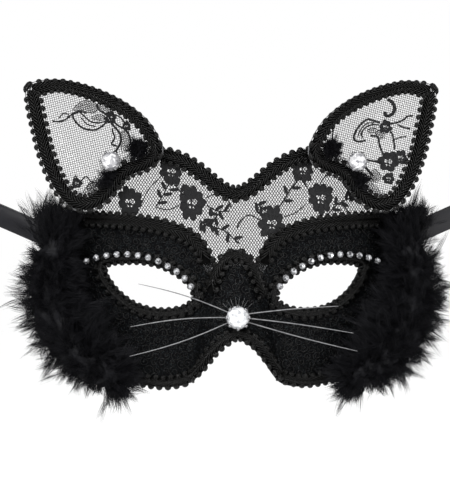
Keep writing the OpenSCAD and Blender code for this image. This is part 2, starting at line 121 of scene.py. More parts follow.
def spline(points, steps, closed=False):
    """Catmull-Rom curve through the points, with that many steps a span."""
    p = np.asarray(points, float)
    n = len(p)
    if closed:
        q = np.vstack([p[-1:], p, p[:2]])
        spans = n
    else:
        q = np.vstack([2 * p[:1] - p[1:2], p, 2 * p[-1:] - p[-2:-1]])
        spans = n - 1
    t = (np.arange(steps) / steps)[:, None]
    out = [0.5 * (2 * b + (c - a) * t + (2 * a - 5 * b + 4 * c - d) * t**2 + (3 * b - a - 3 * c + d) * t**3)
           for a, b, c, d in (q[i:i + 4] for i in range(spans))]
    return np.vstack(out if closed else out + [p[-1:]])


def whole(half):
    """A half outline whose ends lie on x = 0, joined to its mirror image, as one closed list."""
    return list(half) + [(-x, z) for x, z in half[-2:0:-1]]


def across(half):
    """A half line that starts at x = 0, joined to its mirror image, from -X to +X."""
    return [(-x, z) for x, z in half[:0:-1]] + list(half)


def resample(points, step, closed=False):
    """Points at equal spacing near step along a polyline, in 2 or 3 dimensions."""
    p = np.vstack([points, points[:1]]) if closed else np.asarray(points, float)
    run = np.concatenate([[0], np.cumsum(np.linalg.norm(np.diff(p, axis=0), axis=1))])
    n = max(2, int(round(run[-1] / step)))
    want = np.linspace(0, run[-1], n + 1)
    if closed:
        want = want[:-1]
    return np.stack([np.interp(want, run, p[:, k]) for k in range(p.shape[1])], axis=1)


def outward(p):
    """Directions square to a closed line in the front view, all to the same hand."""
    along = np.roll(p, -1, axis=0) - np.roll(p, 1, axis=0)
    return unit(np.stack([-along[:, 1], along[:, 0]], -1))


def inside(points, polygon):
    """Which of the points lie in the polygon, by the even-odd rule."""
    x, z = points[:, 0][:, None], points[:, 1][:, None]
    a, b = polygon, np.roll(polygon, -1, axis=0)
    crosses = (a[:, 1] > z) != (b[:, 1] > z)
    rise = np.where(b[:, 1] == a[:, 1], 1e-12, b[:, 1] - a[:, 1])
    left = x < (b[:, 0] - a[:, 0]) * (z - a[:, 1]) / rise + a[:, 0]
    return (crosses & left).sum(axis=1) % 2 == 1


# ---- surfaces: y at (x, z), for a lift above the back of the layers ----

def soft_min(a, b, k):
    """The lesser of a and b, with the crease between them rounded over k."""
    h = np.clip(0.5 + 0.5 * (b - a) / k, 0, 1)
    return b * (1 - h) + a * h - k * h * (1 - h)


def face_y(x, z, lift, smooth=3.0):
    """The face curve with the nose's cone standing out of it."""
    r = FACE_R + lift
    flat = FACE_R - np.sqrt(r * r - x * x)
    down = np.array([-math.sin(NOSE_TILT), -math.cos(NOSE_TILT)])
    out = np.array([-math.cos(NOSE_TILT), math.sin(NOSE_TILT)])
    y = np.array(flat, float)
    for _ in range(8):
        t = (y - NOSE_TOP[1]) * down[0] + (z - NOSE_TOP[2]) * down[1]
        radius = NOSE_R + lift + NOSE_GROW * (t + 1)
        s = np.sqrt(np.maximum(radius**2 - x * x, 0))
        y = NOSE_TOP[1] + (s - (z - NOSE_TOP[2]) * out[1]) / out[0]
    on_nose = (radius > np.abs(x)) & (t > -1)
    y = np.where(on_nose, y, flat + 20)
    return soft_min(flat, y, smooth) if smooth else np.minimum(flat, y)


def lining_y(x, z, lift):
    """The face curve with a sharp crease round the nose."""
    return face_y(x, z, lift, 0)


def side_y(x, z, lift):
    """The face curve with no nose."""
    return FACE_R - np.sqrt((FACE_R + lift) ** 2 - x * x)


def turn(axis, angle):
    """The matrix of a turn round an axis."""
    c, s = math.cos(angle), math.sin(angle)
    return np.array({"x": [[1, 0, 0], [0, c, -s], [0, s, c]],
                     "y": [[c, 0, s], [0, 1, 0], [-s, 0, c]],
                     "z": [[c, -s, 0], [s, c, 0], [0, 0, 1]]}[axis])


EAR_STEP = EAR_TIP - EAR_BASE
EAR_TURN = (turn("y", math.atan2(EAR_STEP[0], EAR_STEP[2]))
            @ turn("x", -math.atan2(EAR_STEP[1], math.hypot(EAR_STEP[0], EAR_STEP[2]))) @ turn("z", EAR_YAW))


def ear_y(x, z, lift):
    """The ear's cup. lift is in front of the film's front face."""
    start = np.stack([x - EAR_BASE[0], np.zeros_like(x) - EAR_BASE[1], z - EAR_BASE[2]], -1) @ EAR_TURN
    step = EAR_TURN[1]
    ax, ay = start[..., 0], start[..., 1] + EAR_R
    a = step[0] ** 2 + step[1] ** 2
    b = ax * step[0] + ay * step[1]
    c = ax**2 + ay**2 - (EAR_R - lift) ** 2
    return (-b + np.sqrt(np.maximum(b * b - a * c, 0))) / a


def lay(surface, flat, lift):
    """3D points of (x, z) points laid on a surface."""
    flat = np.asarray(flat, float)
    x, z = flat[..., 0], flat[..., 1]
    return np.stack([x, surface(x, z, lift), z], -1)


def normals(surface, flat, lift):
    """Unit normals, towards the front, of a surface at (x, z) points."""
    flat = np.asarray(flat, float)
    e = 0.2
    du = lay(surface, flat + [e, 0], lift) - lay(surface, flat - [e, 0], lift)
    dv = lay(surface, flat + [0, e], lift) - lay(surface, flat - [0, e], lift)
    return unit(np.cross(du, dv))


# ---- meshes ----

def add_object(name, data):
    """An object with that data, in the scene."""
    made = bpy.data.objects.new(name, data)
    bpy.context.scene.collection.objects.link(made)
    return made


def mesh(name, parts, slot, material=None, body=BODY, side=1, smooth=True, under=()):
    """An object made of (vertices in mm, faces, more faces) parts, in the slot's material unless another is
    named. side -1 mirrors it in x. It rides on the body. under is a second list of parts, in the dark cord
    material, which is darker than the parts over it and paints the shade in the gaps between them."""
    verts, faces, at = [], [], 0
    over = sum(len(f) for _, *groups in parts for f in groups)
    for v, *groups in [*parts, *under]:
        v = np.asarray(v, float).reshape(-1, 3)
        verts.append(v)
        faces += [np.asarray(f, int) + at for f in groups]
        at += len(v)
    verts = np.vstack(verts) * MM
    if side < 0:
        verts = verts * [-1, 1, 1]
        faces = [f[:, ::-1] for f in faces]
    data = bpy.data.meshes.new(name)
    data.vertices.add(len(verts))
    data.vertices.foreach_set("co", verts.ravel())
    corners = np.concatenate([f.ravel() for f in faces])
    sizes = np.concatenate([np.full(len(f), f.shape[1]) for f in faces])
    data.loops.add(len(corners))
    data.loops.foreach_set("vertex_index", corners)
    data.polygons.add(len(sizes))
    data.polygons.foreach_set("loop_start", np.concatenate([[0], np.cumsum(sizes)[:-1]]))
    data.polygons.foreach_set("use_smooth", np.full(len(sizes), smooth))
    data.update(calc_edges=True)
    data.validate()
    piece = add_object(name, data)
    data.materials.append(MATERIALS[material or slot])
    # the under parts take the darker cord material: painted shade in the gaps between the parts over them
    if under:
        data.materials.append(MATERIALS["boa_cord"])
        data.polygons.foreach_set("material_index", (np.arange(len(sizes)) >= over).astype(np.int32))
    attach(piece, body)
    return piece


def ring_quads(n, m, closed=False):
    """Quads between n rings of m points each; closed joins the last ring to the first."""
    i, j = np.meshgrid(np.arange(n if closed else n - 1), np.arange(m), indexing="ij")
    i2, j2 = (i + 1) % n, (j + 1) % m
    return np.stack([i * m + j, i * m + j2, i2 * m + j2, i2 * m + j], -1).reshape(-1, 4)


def rings(p, t, radii, sides, up=None, flat=1.0):
    """Rings round the points p of paths that run along t. up is the direction that each ring's first axis is
    square to, the front's if none is given; flat scales the ring along it."""
    t = unit(t)
    u = unit(np.cross(t, (0.0, -1.0, 0.0) if up is None else up))
    w = np.cross(u, t)
    a = 2 * np.pi * (np.arange(sides) + 0.5) / sides
    ring = u[..., None, :] * np.cos(a)[:, None] + flat * w[..., None, :] * np.sin(a)[:, None]
    return p[..., None, :] + ring * np.asarray(radii)[..., None, None]


def tubes(paths, radii, sides=6, up=None, flat=1.0, caps=True):
    """Tubes along one path, or along paths of shape (k, n, 3), with radii that broadcast to (k, n)."""
    p = np.asarray(paths, float)
    if p.ndim == 2:
        p = p[None]
    k, n, _ = p.shape
    v = rings(p, np.gradient(p, axis=1), radii, sides, up, flat).reshape(-1, 3)
    start = (np.arange(k) * n * sides)[:, None]
    part = [v, (start[..., None] + ring_quads(n, sides)).reshape(-1, 4)]
    if caps:
        around = np.arange(sides)
        part.append(np.vstack([start + around[::-1], start + (n - 1) * sides + around]))
    return [part]


def closed_tube(path, radius, sides=6, up=None):
    """A tube round a closed path of shape (n, 3)."""
    p = np.asarray(path, float)
    v = rings(p, np.roll(p, -1, axis=0) - np.roll(p, 1, axis=0), radius, sides, up).reshape(-1, 3)
    return [(v, ring_quads(len(p), sides, True))]


def in_area(points, rim, holes):
    """Which of the points lie in a rim and in none of its holes."""
    keep = inside(points, rim)
    for hole in holes:
        keep &= ~inside(points, hole)
    return keep


def filled(outline, holes, step):
    """Triangles that fill an outline less its holes, on a grid of that step: (points, triangles)."""
    rim, *holes = [resample(ring, step, True) for ring in [outline, *holes]]
    points, edges = [], []
    for ring in [rim, *holes]:
        at = len(points)
        points += [tuple(p) for p in ring]
        edges += [(at + i, at + (i + 1) % len(ring)) for i in range(len(ring))]
    low, high = rim.min(axis=0), rim.max(axis=0)
    grid = []
    for i, z in enumerate(np.arange(low[1], high[1], step * ROW)):
        x = np.arange(low[0] + (i % 2) * step / 2, high[0], step)
        grid.append(np.column_stack([x, np.full(len(x), z)]))
    grid = np.vstack(grid)
    grid = grid[in_area(grid, rim, holes)]
    gap = np.min(((grid[:, None] - np.array(points)[None]) ** 2).sum(-1), axis=1)
    points += [tuple(p) for p in grid[gap > (0.55 * step) ** 2]]
    made = geometry.delaunay_2d_cdt([Vector(p) for p in points], edges, [], 1, 1e-5)
    flat = np.array([tuple(v) for v in made[0]])
    tris = np.array(made[2])
    return flat, tris[in_area(flat[tris].mean(axis=1), rim, holes)]


def slab(flat, tris, surface, low, high, push=None):
    """A sheet between two lifts of a surface, with walls. push lifts each point of the front face further."""
    n = len(flat)
    top = lay(surface, flat, high)
    if push is not None:
        top = top + normals(surface, flat, high) * push[:, None]
    v = np.vstack([top, lay(surface, flat, low)])
    a, b, c = top[tris[:, 0]], top[tris[:, 1]], top[tris[:, 2]]
    if np.cross(b - a, c - a)[:, 1].mean() > 0:
        tris = tris[:, ::-1]
    edges = np.vstack([tris[:, [0, 1]], tris[:, [1, 2]], tris[:, [2, 0]]])
    _, index, count = np.unique(np.sort(edges, axis=1), axis=0, return_index=True, return_counts=True)
    rim = edges[index[count == 1]]
    walls = np.column_stack([rim[:, 1], rim[:, 0], rim[:, 0] + n, rim[:, 1] + n])
    return [(v, tris, tris[:, ::-1] + n, walls)]


# ---- materials ----

def shader(name, **values):
    """A material, its nodes and its main shader, with inputs of the shader set."""
    material = bpy.data.materials.new(name)
    material.use_nodes = True
    nodes = material.node_tree.nodes
    out = nodes["Principled BSDF"]
    for key, value in values.items():
        out.inputs[key.replace("_", " ")].default_value = value
    return material, nodes, out


def join(source, target):
    """A link from a node's output to another's input."""
    target.id_data.links.new(source, target)


def add(nodes, kind, **values):
    """A node of that kind with its inputs or properties set."""
    made = nodes.new(kind)
    for key, value in values.items():
        key = key.replace("_", " ")
        if key in made.inputs:
            made.inputs[key].default_value = value
        else:
            setattr(made, key, value)
    return made


def texture(nodes, kind, **values):
    """A texture in object space."""
    made = add(nodes, kind, **values)
    join(nodes.new("ShaderNodeTexCoord").outputs["Object"], made.inputs["Vector"])
    return made


def cell_colours(nodes, scale):
    """A random colour for each cell of a fine pattern, as separate channels."""
    pick = nodes.new("ShaderNodeSeparateColor")
    join(texture(nodes, "ShaderNodeTexVoronoi", Scale=scale).outputs["Color"], pick.inputs["Color"])
    return pick.outputs


def tinted(nodes, out, value, places, dark, light):
    """The base colour follows a value, from dark at the first place to light at the second."""
    ramp = nodes.new("ShaderNodeValToRGB")
    for element, place, colour in zip(ramp.color_ramp.elements, places, (dark, light)):
        element.position, element.color = place, (*colour, 1)
    join(value, ramp.inputs["Fac"])
    join(ramp.outputs["Color"], out.inputs["Base Color"])


def roughened(nodes, out, value, **ends):
    """The roughness follows a value."""
    spread = add(nodes, "ShaderNodeMapRange", **ends)
    join(value, spread.inputs["Value"])
    join(spread.outputs["Result"], out.inputs["Roughness"])


def bumped(nodes, out, height, strength, depth):
    """The surface rises and falls with a value, by up to depth metres."""
    lift = add(nodes, "ShaderNodeBump", Strength=strength, Distance=depth)
    join(height, lift.inputs["Height"])
    join(lift.outputs["Normal"], out.inputs["Normal"])


def grained(name, dark, light, scale, rough, bump=0.3, depth=0.00015, wave=False, specular=0.5, **values):
    """A material whose colour, roughness and bump follow one fine pattern: noise, or bands for a weave."""
    material, nodes, out = shader(name, Specular_IOR_Level=specular, **values)
    if wave:
        grain = texture(nodes, "ShaderNodeTexWave", Scale=scale, Distortion=1.5, Detail=2.0)
    else:
        grain = texture(nodes, "ShaderNodeTexNoise", Scale=scale, Detail=4.0)
    value = grain.outputs["Fac"]
    tinted(nodes, out, value, (0.3, 0.7), dark, light)
    roughened(nodes, out, value, To_Min=rough[0], To_Max=rough[1])
    bumped(nodes, out, value, bump, depth)
    return material


def glitter_material():
    """Black fabric with glitter flakes that each face their own way."""
    material, nodes, out = shader("glitter_fabric", Specular_IOR_Level=0.03)
    flakes = cell_colours(nodes, 3400.0)
    tinted(nodes, out, flakes["Red"], (0.8, 0.99), (0.0012, 0.0012, 0.0015), (0.024, 0.028, 0.03))
    roughened(nodes, out, flakes["Red"], From_Min=0.6, To_Min=0.65, To_Max=0.22)
    weave = texture(nodes, "ShaderNodeTexNoise", Scale=900.0, Detail=3.0)
    mix = add(nodes, "ShaderNodeMath", operation="ADD")
    join(flakes["Green"], mix.inputs[0])
    join(weave.outputs["Fac"], mix.inputs[1])
    bumped(nodes, out, mix.outputs["Value"], 0.6, 0.00025)
    return material


def film_material():
    """Clear film with faint creases."""
    material, nodes, out = shader("clear_film", Roughness=0.06, Alpha=0.07)
    crease = texture(nodes, "ShaderNodeTexNoise", Scale=45.0, Detail=2.0).outputs["Fac"]
    tinted(nodes, out, crease, (0, 1), (0.86, 0.88, 0.9), (0.97, 0.98, 1))
    bumped(nodes, out, crease, 0.25, 0.001)
    return material


def stone_painted_reflections(name, scale, dark, light):
    """A cut stone over foil, under a clear coat. Its base colour holds painted reflections: random patches
    from dark to light that stand in for the light and dark its inner facets show.
    """
    material, nodes, out = shader(name, Metallic=0.35, Roughness=0.12, Coat_Weight=0.4, Coat_Roughness=0.03)
    # painted reflections: the cells' random patches from dark to light stand in for the facets' glints and
    # shade
    tinted(nodes, out, cell_colours(nodes, scale)["Red"], (0.15, 0.75), dark, light)
    return material


MATERIALS = {
    "lining_felt": grained("lining_felt", (0.004, 0.004, 0.0045), (0.012, 0.012, 0.013), 1400, (0.85, 1.0),
                           0.9, 0.0004, specular=0.05, Sheen_Weight=0.05, Sheen_Roughness=0.4),
    "shell_plastic": grained("shell_plastic", (0.005, 0.005, 0.005), (0.010, 0.010, 0.010), 300, (0.45, 0.6),
                             specular=0.2),
    "glitter_fabric": glitter_material(),
    "clear_film": film_material(),
    "lace": grained("lace", (0.004, 0.004, 0.004), (0.014, 0.014, 0.015), 2200, (0.55, 0.8), 0.5, 0.0002,
                    specular=0.1),
    "lace_flower": grained("lace_flower", (0.012, 0.012, 0.013), (0.055, 0.055, 0.057), 1500, (0.6, 0.85),
                           1.0, 0.0004, wave=True, specular=0.1),
    "gimp_braid": grained("gimp_braid", (0.001, 0.001, 0.001), (0.0042, 0.004, 0.0037), 1800, (0.16, 0.28),
                          wave=True, specular=0.18),
    "stone_foil": grained("stone_foil", (0.10, 0.10, 0.105), (0.35, 0.35, 0.36), 900, (0.2, 0.35),
                          Metallic=1.0),
    "clear_stone": stone_painted_reflections("clear_stone", 1500.0, (0.06, 0.06, 0.065), (0.7, 0.71, 0.73)),
    "ear_crystal": stone_painted_reflections("ear_crystal", 700.0, (0.3, 0.3, 0.32), (0.95, 0.95, 0.96)),
    "nose_crystal": stone_painted_reflections("nose_crystal", 900.0, (0.5, 0.51, 0.53), (0.95, 0.96, 0.97)),
    "glue_felt": grained("glue_felt", (0.004, 0.004, 0.004), (0.014, 0.014, 0.014), 1100, (0.8, 1.0), 0.8,
                         0.0004, specular=0.05),
    "clear_filament": grained("clear_filament", (0.10, 0.10, 0.105), (0.2, 0.2, 0.205), 500, (0.2, 0.35)),
    "marabou": grained("marabou", (0.003, 0.003, 0.0037), (0.0105, 0.0106, 0.0125), 700, (0.45, 0.7), 0.2,
                       0.0001, specular=0.07),
    "boa_cord": grained("boa_cord", (0.001, 0.001, 0.001), (0.003, 0.003, 0.003), 1500, (0.7, 0.9), 0.8,
                        0.0003, wave=True, specular=0.05),
    "satin_ribbon": grained("satin_ribbon", (0.004, 0.004, 0.0055), (0.009, 0.009, 0.012), 2600, (0.28, 0.42),
                            0.25, 0.0001, wave=True, specular=0.3, Anisotropic=0.6),
}


def carry(*names):
    """CAD nodes that are shown as they are, in the material of their slot."""
    slots = {s["node"]: s["material_slot"] for s in frame["record"]["subparts"]}
    for name in names:
        data = frame["nodes"][name].data
        data.materials.clear()
        data.materials.append(MATERIALS[slots[name]])


# ---- camera, light and floor ----

VIEW_W = 189.0                   # width of the picture at the mask, in millimetres
SENSOR = 36.0
CAMERA_FAR = 1000.0
AIM = np.array([-4.2, 0.0, 14.7])
CAMERA_TURN = math.radians(3.5)  # the camera stands this far to the left of straight ahead
SKY = 0.44                       # the sky's light on the mask, as a share of what the camera sees
SUN, SUN_SIZE = 2.55, math.radians(14)
SUN_TURN = (math.radians(36), math.radians(-10), 0)
LAMPS = [("left", (-0.6, -0.7, 0.35), 5.0), ("right", (0.7, -0.6, 0.1), 3.0)]
LAMP_SIZE, LAMP_AIM = 0.35, (0, 0, 0.015)
FLOOR, FLOOR_Z = 4.0, -0.16      # half the width of the paper under the mask, and its height


def make_camera():
    """A long lens, a metre in front of the mask."""
    data = bpy.data.cameras.new("camera")
    camera = add_object("camera", data)
    data.sensor_fit = "HORIZONTAL"
    data.sensor_width = SENSOR
    data.lens = SENSOR * CAMERA_FAR / VIEW_W
    data.clip_end = 20.0
    spot = AIM + CAMERA_FAR * np.array([-math.sin(CAMERA_TURN), -math.cos(CAMERA_TURN), 0])
    camera.location = Vector(spot * MM)
    camera.rotation_euler = (math.radians(90), 0, -CAMERA_TURN)
    bpy.context.scene.camera = camera


def make_world():
    """White to the camera, and a dimmer white to everything it lights."""
    world = bpy.data.worlds.new("world")
    bpy.context.scene.world = world
    world.use_nodes = True
    nodes = world.node_tree.nodes
    glow = nodes["Background"]
    glow.inputs["Color"].default_value = (1, 1, 1, 1)
    level = add(nodes, "ShaderNodeMapRange", To_Min=SKY, To_Max=1.0)
    join(nodes.new("ShaderNodeLightPath").outputs["Is Camera Ray"], level.inputs["Value"])
    join(level.outputs["Result"], glow.inputs["Strength"])


def make_stage():
    """The light of a white studio: an even sky, a soft sun and two lamps, over white paper."""
    bpy.context.scene.view_settings.view_transform = "Standard"
    make_world()
    data = bpy.data.lights.new("window", "SUN")
    data.energy, data.angle = SUN, SUN_SIZE
    add_object("window", data).rotation_euler = SUN_TURN
    for name, place, power in LAMPS:
        data = bpy.data.lights.new(name, "AREA")
        data.size, data.energy = LAMP_SIZE, power
        lamp = add_object(name, data)
        lamp.location = place
        lamp.rotation_euler = (Vector(LAMP_AIM) - Vector(place)).to_track_quat("-Z", "Y").to_euler()
    data = bpy.data.meshes.new("floor")
    corners = [(-FLOOR, -FLOOR), (FLOOR, -FLOOR), (FLOOR, FLOOR), (-FLOOR, FLOOR)]
    data.from_pydata([(x, y, FLOOR_Z) for x, y in corners], [], [(0, 1, 2, 3)])
    floor = add_object("floor", data)
    data.materials.append(grained("floor_paper", (0.95, 0.95, 0.95), (0.98, 0.98, 0.98), 40, (0.8, 0.95)))


make_camera()
make_stage()


# ---- ribbon ties ----

def ribbon_strip(name, side):
    """A satin ribbon, slim and slightly cupped, with woven edges, and the middle line of its route."""
    p = resample(spline(RIBBON_ROUTE, 8), 1.2)
    t = unit(np.gradient(p, axis=0))
    w = np.array([-math.sin(RIBBON_SLOPE), 0, math.cos(RIBBON_SLOPE)])
    wide = unit(w - (t @ w)[:, None] * t)
    out = np.cross(wide, t)
    a = np.linspace(-1, 1, 15)
    run = np.arange(len(p)) * 1.2
    cup = 0.25 * (a[None] ** 2 - 0.4) * (1 + 0.5 * np.sin(run / 9.0))[:, None]
    rim = np.where(np.abs(a) > 0.9, 0.12, 0.0)[None]
    sheets = []
    for face in (1, -1):
        lift = cup + face * (RIBBON_T * 0.3 + rim)
        middle = p[:, None] + wide[:, None] * (a * RIBBON_W / 2)[None, :, None]
        sheets.append(middle + out[:, None] * lift[..., None])
    ring = np.concatenate([sheets[0], sheets[1][:, ::-1]], axis=1)
    n, m = ring.shape[:2]
    ends = np.array([np.arange(m)[::-1], (n - 1) * m + np.arange(m)])
    return mesh(name, [(ring, ring_quads(n, m), ends)], "satin_ribbon", side=side), p * [side, 1, 1]


def at_knot(local):
    """Points given along the ribbon, out to the front and across it, round the knot."""
    c, s = math.cos(RIBBON_SLOPE), math.sin(RIBBON_SLOPE)
    local = np.asarray(local, float)
    x, y, z = local[..., 0], local[..., 1], local[..., 2]
    return np.stack([KNOT[0] + x * c - z * s, KNOT[1] + y, KNOT[2] + x * s + z * c], -1)


def knot_parts():
    """An overhand knot: a wound band round the ribbon, in three laps."""
    a = np.linspace(0, 6 * np.pi, 110)
    x = np.linspace(-2.6, 2.6, 110)
    path = at_knot(np.stack([x + 0.7 * np.sin(a), 2.5 * np.cos(a), 3.9 * np.sin(a)], -1))
    return tubes(path, 1.15, 10, up=at_knot([1, 0, 0]) - KNOT)


def loop_strip(name, side):
    """The loop beyond the knot, and the ribbon's short end."""
    a = np.linspace(-math.pi / 2, math.pi / 2, 15)
    bend = np.stack([16 + 3.7 * np.cos(a), 3.7 * np.sin(a)], -1)
    line = np.vstack([[(2.5, -1.5), (5, -3.0), (9, -3.7)], bend, [(9, 3.7), (5, 3.0), (2.5, 1.5)]])
    line = resample(spline(line, 4), 0.8)
    t = unit(np.gradient(line, axis=0))
    n = np.stack([-t[:, 1], t[:, 0]], -1)
    width = np.interp(np.arange(len(line)) / len(line), [0, 0.18, 0.82, 1], [3.0, 4.6, 4.6, 3.0])
    rows = []
    for face in (1, -1):
        for a in np.linspace(-1, 1, 13)[::face]:
            lift = face * (0.14 + (0.1 if abs(a) > 0.9 else 0))
            spot = line + n * (lift + 0.2 * (a * a - 0.3))
            rows.append(at_knot(np.stack([spot[:, 0], spot[:, 1], width * a], -1)))
    ring = np.stack(rows, axis=1)
    return mesh(name, [(ring, ring_quads(*ring.shape[:2]))], "satin_ribbon", side=side)


def make_ties():
    """Each tie: a ribbon, its knot and the loop beyond it, as one cord."""
    for name, side in SIDES.items():
        ribbon, route = ribbon_strip(f"tie_{name}", side)
        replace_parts(ribbon, f"ribbon_{name}")
        knot = mesh(f"knot_{name}", knot_parts(), "satin_ribbon", side=side)
        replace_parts(knot, f"tie_knot_{name}")
        loop = loop_strip(f"loop_{name}", side)
        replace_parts(loop, f"tie_loop_{name}")
        carry(f"ribbon_patch_{name}")


make_ties()


# ---- the mask's body ----

SHELL_EDGE = spline(whole(SHELL_HALF), 5, True)
EYE_EDGE = spline(EYE, 5, True)
EYE_EDGES = [EYE_EDGE, EYE_EDGE * [-1, 1]]


def noise_at(flat, scale, seed):
    """Smooth noise from -1 to 1 at (x, z) points: a few sine waves in random directions."""
    local = np.random.default_rng(seed)
    total = np.zeros(len(flat))
    for _ in range(7):
        way = local.normal(size=2)
        total += np.sin(flat @ way / scale + local.uniform(0, 2 * np.pi))
    return total / 5


def make_mask_body():
    """The shell between its glitter cover and its felt lining, with a rolled edge."""
    flat, tris = filled(SHELL_EDGE, EYE_EDGES, 1.5)
    grit = 0.1 * noise_at(flat, 2.2, 3)
    cover = mesh("cover", slab(flat, tris, face_y, SHELL, FRONT, grit), "glitter_fabric")
    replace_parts(cover, "cover_fabric")
    lining = mesh("lining", slab(flat, tris, lining_y, 0.0, LINING_T), "lining_felt")
    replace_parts(lining, "face_lining")
    carry("mask_shell")
    rims = []
    for edge in [SHELL_EDGE] + EYE_EDGES:
        rims += closed_tube(lay(face_y, resample(edge, 1.2, True), 1.1), 0.5, 8)
    mesh("edge_binding", rims, "lining_felt")


SCROLL_GAP = 3.7


def make_scrolls():
    """Raised glitter scrolls on the cover: small spirals, each turned its own way."""
    low, high = SHELL_EDGE.min(axis=0), SHELL_EDGE.max(axis=0)
    spots = np.array([(x + (k % 2) * SCROLL_GAP / 2, z)
                      for k, z in enumerate(np.arange(low[1], high[1], SCROLL_GAP * ROW))
                      for x in np.arange(low[0], high[0], SCROLL_GAP)])
    spots += rng.uniform(-0.8, 0.8, spots.shape)
    a = np.linspace(0, 2.7 * np.pi, 22)
    paths = []
    for spot in spots:
        start, hand = rng.uniform(0, 2 * np.pi), rng.choice([-1, 1])
        r = (0.3 + 1.5 * a / a[-1]) * rng.uniform(0.7, 1.3)
        flat = spot + np.stack([r * np.cos(start + hand * a), r * np.sin(start + hand * a)], -1)
        if inside(flat, SHELL_EDGE).all() and not any(inside(flat, e).any() for e in EYE_EDGES):
            paths.append(lay(face_y, flat, FRONT + 0.1))
    mesh("cover_scrolls", tubes(np.array(paths), 0.2, 4), "glitter_fabric", "gimp_braid")


# ---- gimp braid ----

PITCH, KNOB = 3.5, 1.55          # from one knob of the edge to the next, and a knob's radius
CORD, STRAND = 0.52, 0.3         # radii of a knob's cord and of a strand of the plait
WEB_T, WEB_TRIM = 0.35, 1.2      # half the web's thickness, and how far it stops short of a braid's ends


def smoothed(t, reach, closed):
    """Directions averaged over their neighbours along a line."""
    pad = np.pad(t, ((reach, reach), (0, 0)), mode="wrap" if closed else "edge")
    kernel = np.ones(reach) / reach
    return np.stack([np.convolve(pad[:, k], kernel, "same")[reach:-reach] for k in range(3)], -1)


def braid_frame(line, surface, lift, closed, scale):
    """A braid's length, its mean share of the width, and a function that places points along it."""
    fine = resample(spline(line, 10, closed), 0.5, closed)
    spots = lay(surface, fine, lift)
    fronts = normals(surface, fine, lift)
    run = np.linalg.norm(np.diff(np.vstack([spots, spots[:1]]), axis=0), axis=1)
    if closed:
        spots, fronts = np.vstack([spots, spots[:1]]), np.vstack([fronts, fronts[:1]])
    else:
        run = run[:-1]
    run = np.concatenate([[0], np.cumsum(run)])
    length = run[-1]
    share_at = np.ones(len(spots)) if scale is None else scale(spots[:, [0, 2]])
    t = np.gradient(spots, axis=0)
    if closed:
        t[0] = t[-1] = spots[1] - spots[-2]
    t = smoothed(unit(t), 5, closed)

    def place(s, a, h):
        """A point s along the braid, a to its side and h above its back."""
        s = np.mod(s, length) if closed else np.clip(s, 0, length)
        p, d, n = (np.stack([np.interp(s, run, q[:, k]) for k in range(3)], -1) for q in (spots, t, fronts))
        side = np.cross(n, unit(d))
        side /= np.maximum(np.linalg.norm(side[..., [0, 2]], axis=-1, keepdims=True), 0.6)
        return p + side * (a * np.interp(s, run, share_at))[..., None] + n * np.asarray(h)[..., None]

    return length, share_at.mean(), place


def braid_parts(line, surface, lift, width, closed=False, scale=None):
    """Gimp braid along an (x, z) line on a surface: a plait of slanting strands, a knob at each step of its
    edges, and a flat web under them, returned apart so that it goes in a darker material: a real web with
    painted shade between the strands. scale gives the share of the width at (x, z) points."""
    length, mean_share, place = braid_frame(line, surface, lift, closed, scale)
    count = max(3, int(round(length / PITCH)))
    pitch = length / count
    half = width / 2
    start = (np.arange(count) + (0.0 if closed else 0.5)) * pitch
    trim = 0 if closed else WEB_TRIM
    s = np.linspace(trim, length - trim, max(8, int(length / 1.5)))
    web = place(s, 0 * s, 0 * s + WEB_T)
    up = place(s, 0 * s, 0 * s + WEB_T + 1) - web
    slim = (half - KNOB * 0.85) * mean_share
    under = tubes(web, slim, 8, up=up, flat=WEB_T / slim)
    parts = []
    for hand in (-1, 1):
        shift = 0 if hand > 0 else pitch / 2
        # the knob: a cord wound into a tight curl that stands out at the edge
        a = np.linspace(0, 3.6 * np.pi, 26)
        share = a / a[-1]
        r = (KNOB - CORD) * (1 - 0.7 * share)
        s = start[:, None] + (r * np.cos(a))[None] + shift
        side = hand * (half - KNOB + r * np.sin(a))[None] + 0 * s
        high = CORD + 0.8 * share[None] ** 1.5 + 0 * s
        parts += tubes(place(s, side, high), CORD, 6)
        # strands that slant in from the knobs to the middle and lie over one another
        q = np.linspace(0, 1, 9)
        for step in (0.05, 0.55):
            s = start[:, None] + pitch * (step - 0.1) + pitch * 1.25 * q[None] + shift
            side = hand * ((half - KNOB * 1.3) * (1 - q) ** 1.2 - 0.02 * width * q)[None] + 0 * s
            high = 0.5 + 1.1 * np.sin(np.pi * (0.1 + 0.72 * q))[None] + 0 * s
            parts += tubes(place(s, side, high), STRAND, 6)
    return parts, under


def ear_share(p):
    """The ear's braid is folded over the film along the inner edge, where less of it shows."""
    fold = (p[:, 1] - 50) / 6 - (p[:, 0] - 34) / 60
    tip = (p[:, 0] + p[:, 1] - 160) / 8
    return 1 - 0.3 * inside_edge(p) * np.clip(fold, 0, 1) * (1 - np.clip(tip, 0, 1))


def inside_edge(p):
    """1 on the ear's inner side of the line from its lobe to its tip, 0 on the outer side, smooth between."""
    along = unit(EAR_CORNER - EAR_LOBE)
    off = (p - EAR_LOBE) @ [-along[1], along[0]]
    return np.clip(off / 6 + 0.5, 0, 1)


def inset(outline, depth, step=1.0):
    """A closed line at a depth inside an outline, or outside it for a negative depth, without the loops that
    a tight bend would make. depth is a number or a function of the points."""
    p = resample(outline, step, True)
    out = outward(p)
    deep = np.broadcast_to(depth(p) if callable(depth) else depth, len(p))
    for way in (1, -1):
        q = p + way * deep[:, None] * out
        share_in = inside(q, p).mean()
        if share_in > 0.5 if deep.mean() > 0 else share_in < 0.5:
            best = q
    gap = np.sqrt(((best[:, None] - p[None]) ** 2).sum(-1)).min(axis=1)
    best = best[gap > np.abs(deep) * 0.96]
    for _ in range(3):
        best = (np.roll(best, 1, axis=0) + 2 * best + np.roll(best, -1, axis=0)) / 4
    return best[::4]


